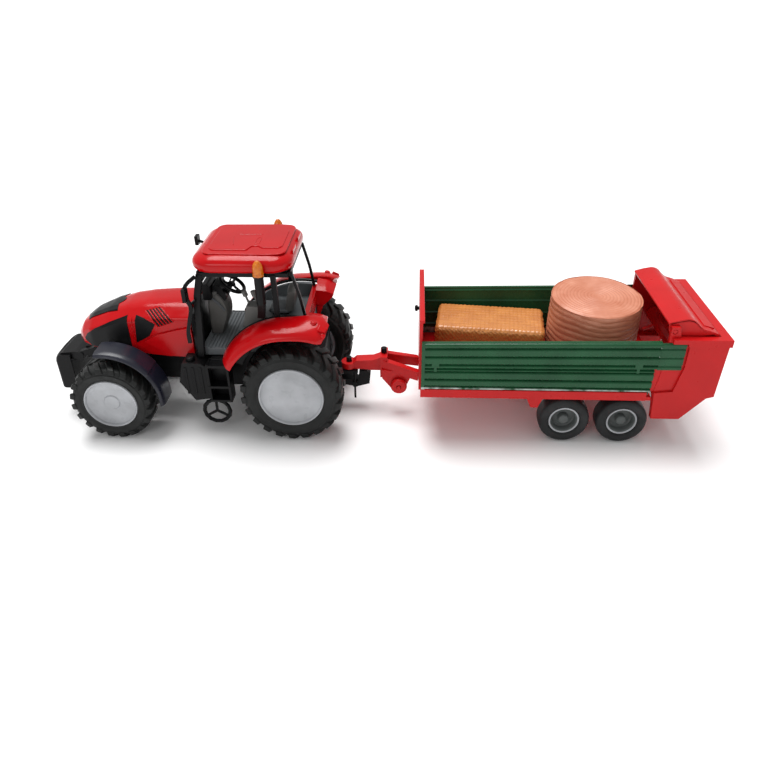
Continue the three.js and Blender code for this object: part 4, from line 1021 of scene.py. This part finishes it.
def round_bale():
    """A wrapped bale: wavy layers round its side and a wound spiral on its top."""
    low, high = cad_box("round_bale")
    centre = Vector((middle(low.x, high.x), middle(low.y, high.y), 0))
    radius = (high.x - low.x) / 2
    around, side_steps, top_steps = 240, 90, 96
    slope = 0.055
    height = high.z - low.z - slope * radius
    angles = [2 * math.pi * k / around for k in range(around)]
    rings = []

    def at(angle, reach, z):
        lean = slope * reach * math.sin(angle) * (z - low.z) / height
        return centre.x + reach * math.cos(angle), centre.y + reach * math.sin(angle), z + lean

    for j in range(side_steps + 1):
        z = height * j / side_steps
        ring = []
        for angle in angles:
            sway = noise.noise(Vector((math.cos(angle) * 1.6, math.sin(angle) * 1.6, z * 0.03)))
            phase = z / height * 13 + sway * 0.9
            layer = humps(phase) ** 0.6
            fray = noise.noise(Vector((math.cos(angle) * 9, math.sin(angle) * 9, z * 0.5)))
            bulge = 0.5 * math.sin(math.pi * z / height)
            reach = radius - 1.7 + 0.75 * layer + 0.2 * fray + bulge
            foot = radius - 2.5
            reach = foot + (reach - foot) * min(1, j / 3)
            ring.append(at(angle, reach, low.z + z - (0.8 if j == side_steps else 0)))
        rings.append(ring)
    turns = 13
    for j in range(1, top_steps + 1):
        share = 1 - j / top_steps
        ring = []
        for angle in angles:
            wound = share * turns + angle / (2 * math.pi)
            ridge = humps(wound) ** 0.7
            edge = max(0, (share - 0.94) / 0.06)
            z = low.z + height - 0.6 + 0.4 * ridge * min(1, share * 6) - 1.4 * edge ** 2
            ring.append(at(angle, max((radius - 1.6) * share, 0.02), z))
        rings.append(ring)
    piece("round_bale_fine", loft(rings), "round_bale", "hay_salmon", ("round_bale",), 0, smooth=70)


def square_bale():
    """A rounded block of pressed straw with close ribs across its top and down its sides."""
    half = Vector((41.5, 22.25, 15))
    soft, steps = 4.5, (150, 64, 44)
    low, high = cad_box("square_bale")
    centre = Vector((middle(low.x, high.x), middle(low.y, high.y), low.z + half.z))
    place = Matrix.Translation(centre) @ rotation(-6, "Z")

    def rounded(point):
        """Pushes a point on the block's faces onto a block with rounded edges."""
        core = Vector([max(soft - half[i], min(half[i] - soft, point[i])) for i in range(3)])
        out = (point - core).normalized()
        return core + out * soft, out

    def relief(point, normal):
        fray = noise.noise(Vector((point.x * 0.5, point.y * 0.12, point.z * 0.5)))
        if normal.z > 0.6:
            drift = 0.12 * noise.noise(Vector((point.x * 0.1, point.y * 0.2, 0)))
            rib = humps(point.x / 3.1 + drift)
            weave = humps(point.y / 4.2)
            return 0.45 * rib ** 0.5 + 0.22 * weave + 0.2 * fray
        slope = point.x + point.z * 0.9 + point.y * 0.3
        rib = humps(slope / 3.1 + 0.5 * noise.noise(point * 0.09))
        return 0.55 * rib ** 0.6 + 0.35 * fray

    def sheet(axis, side):
        """One face of the block as a sheet of points, with its relief."""
        u_axis, v_axis = (i for i in range(3) if i != axis)
        sheet_rows = []
        for u in spread(-1, 1, steps[u_axis]):
            row = []
            for v in spread(-1, 1, steps[v_axis]):
                start = half * side
                start[u_axis], start[v_axis] = half[u_axis] * u, half[v_axis] * v
                point, normal = rounded(start)
                row.append(tuple(place @ (point - normal * max(0.05, 0.8 - relief(point, normal)))))
            sheet_rows.append(row)
        return loft(sheet_rows, ring_closed=False)

    block = together(*(sheet(axis, side) for axis in range(3) for side in (1, -1)))
    piece("square_bale_fine", block, "square_bale", "straw_orange", ("square_bale",), 0, smooth=70)


# ---- CAD nodes that stay
NODE_EDGES = {"cab_tub": 0.5, "chassis": 0.6, "spreader_housing": 0.45, "trailer_bed": 0.35}


def finish_cad_nodes():
    """Every CAD node still showing gets its finish, clean flat faces and rounded edges."""
    slots = {row["node"]: row["material_slot"] for row in frame["record"]["subparts"]}
    for name, node in frame["nodes"].items():
        if node.hide_render:
            continue
        node.data.materials.clear()
        node.data.materials.append(FINISH[slots[name]])
        node.data.polygons.foreach_set("use_smooth", [True] * len(node.data.polygons))
        weld = node.modifiers.new("weld", "WELD")
        weld.merge_threshold = 0.01 * MM
        flat = node.modifiers.new("flat faces", "DECIMATE")
        flat.decimate_type = "DISSOLVE"
        flat.angle_limit = math.radians(1)
        rounding(node, NODE_EDGES.get(name, 0.4))


camera()
studio()
wheels()
trailer_wheels()
bonnet()
roof()
rear_fenders()
front_fenders()
front_weight()
steering_wheel()
console()
seat()
beacons()
cab_details()
trailer_walls()
closing_plates()
front_wall_knob()
spreader_hood()
round_bale()
square_bale()
finish_cad_nodes()
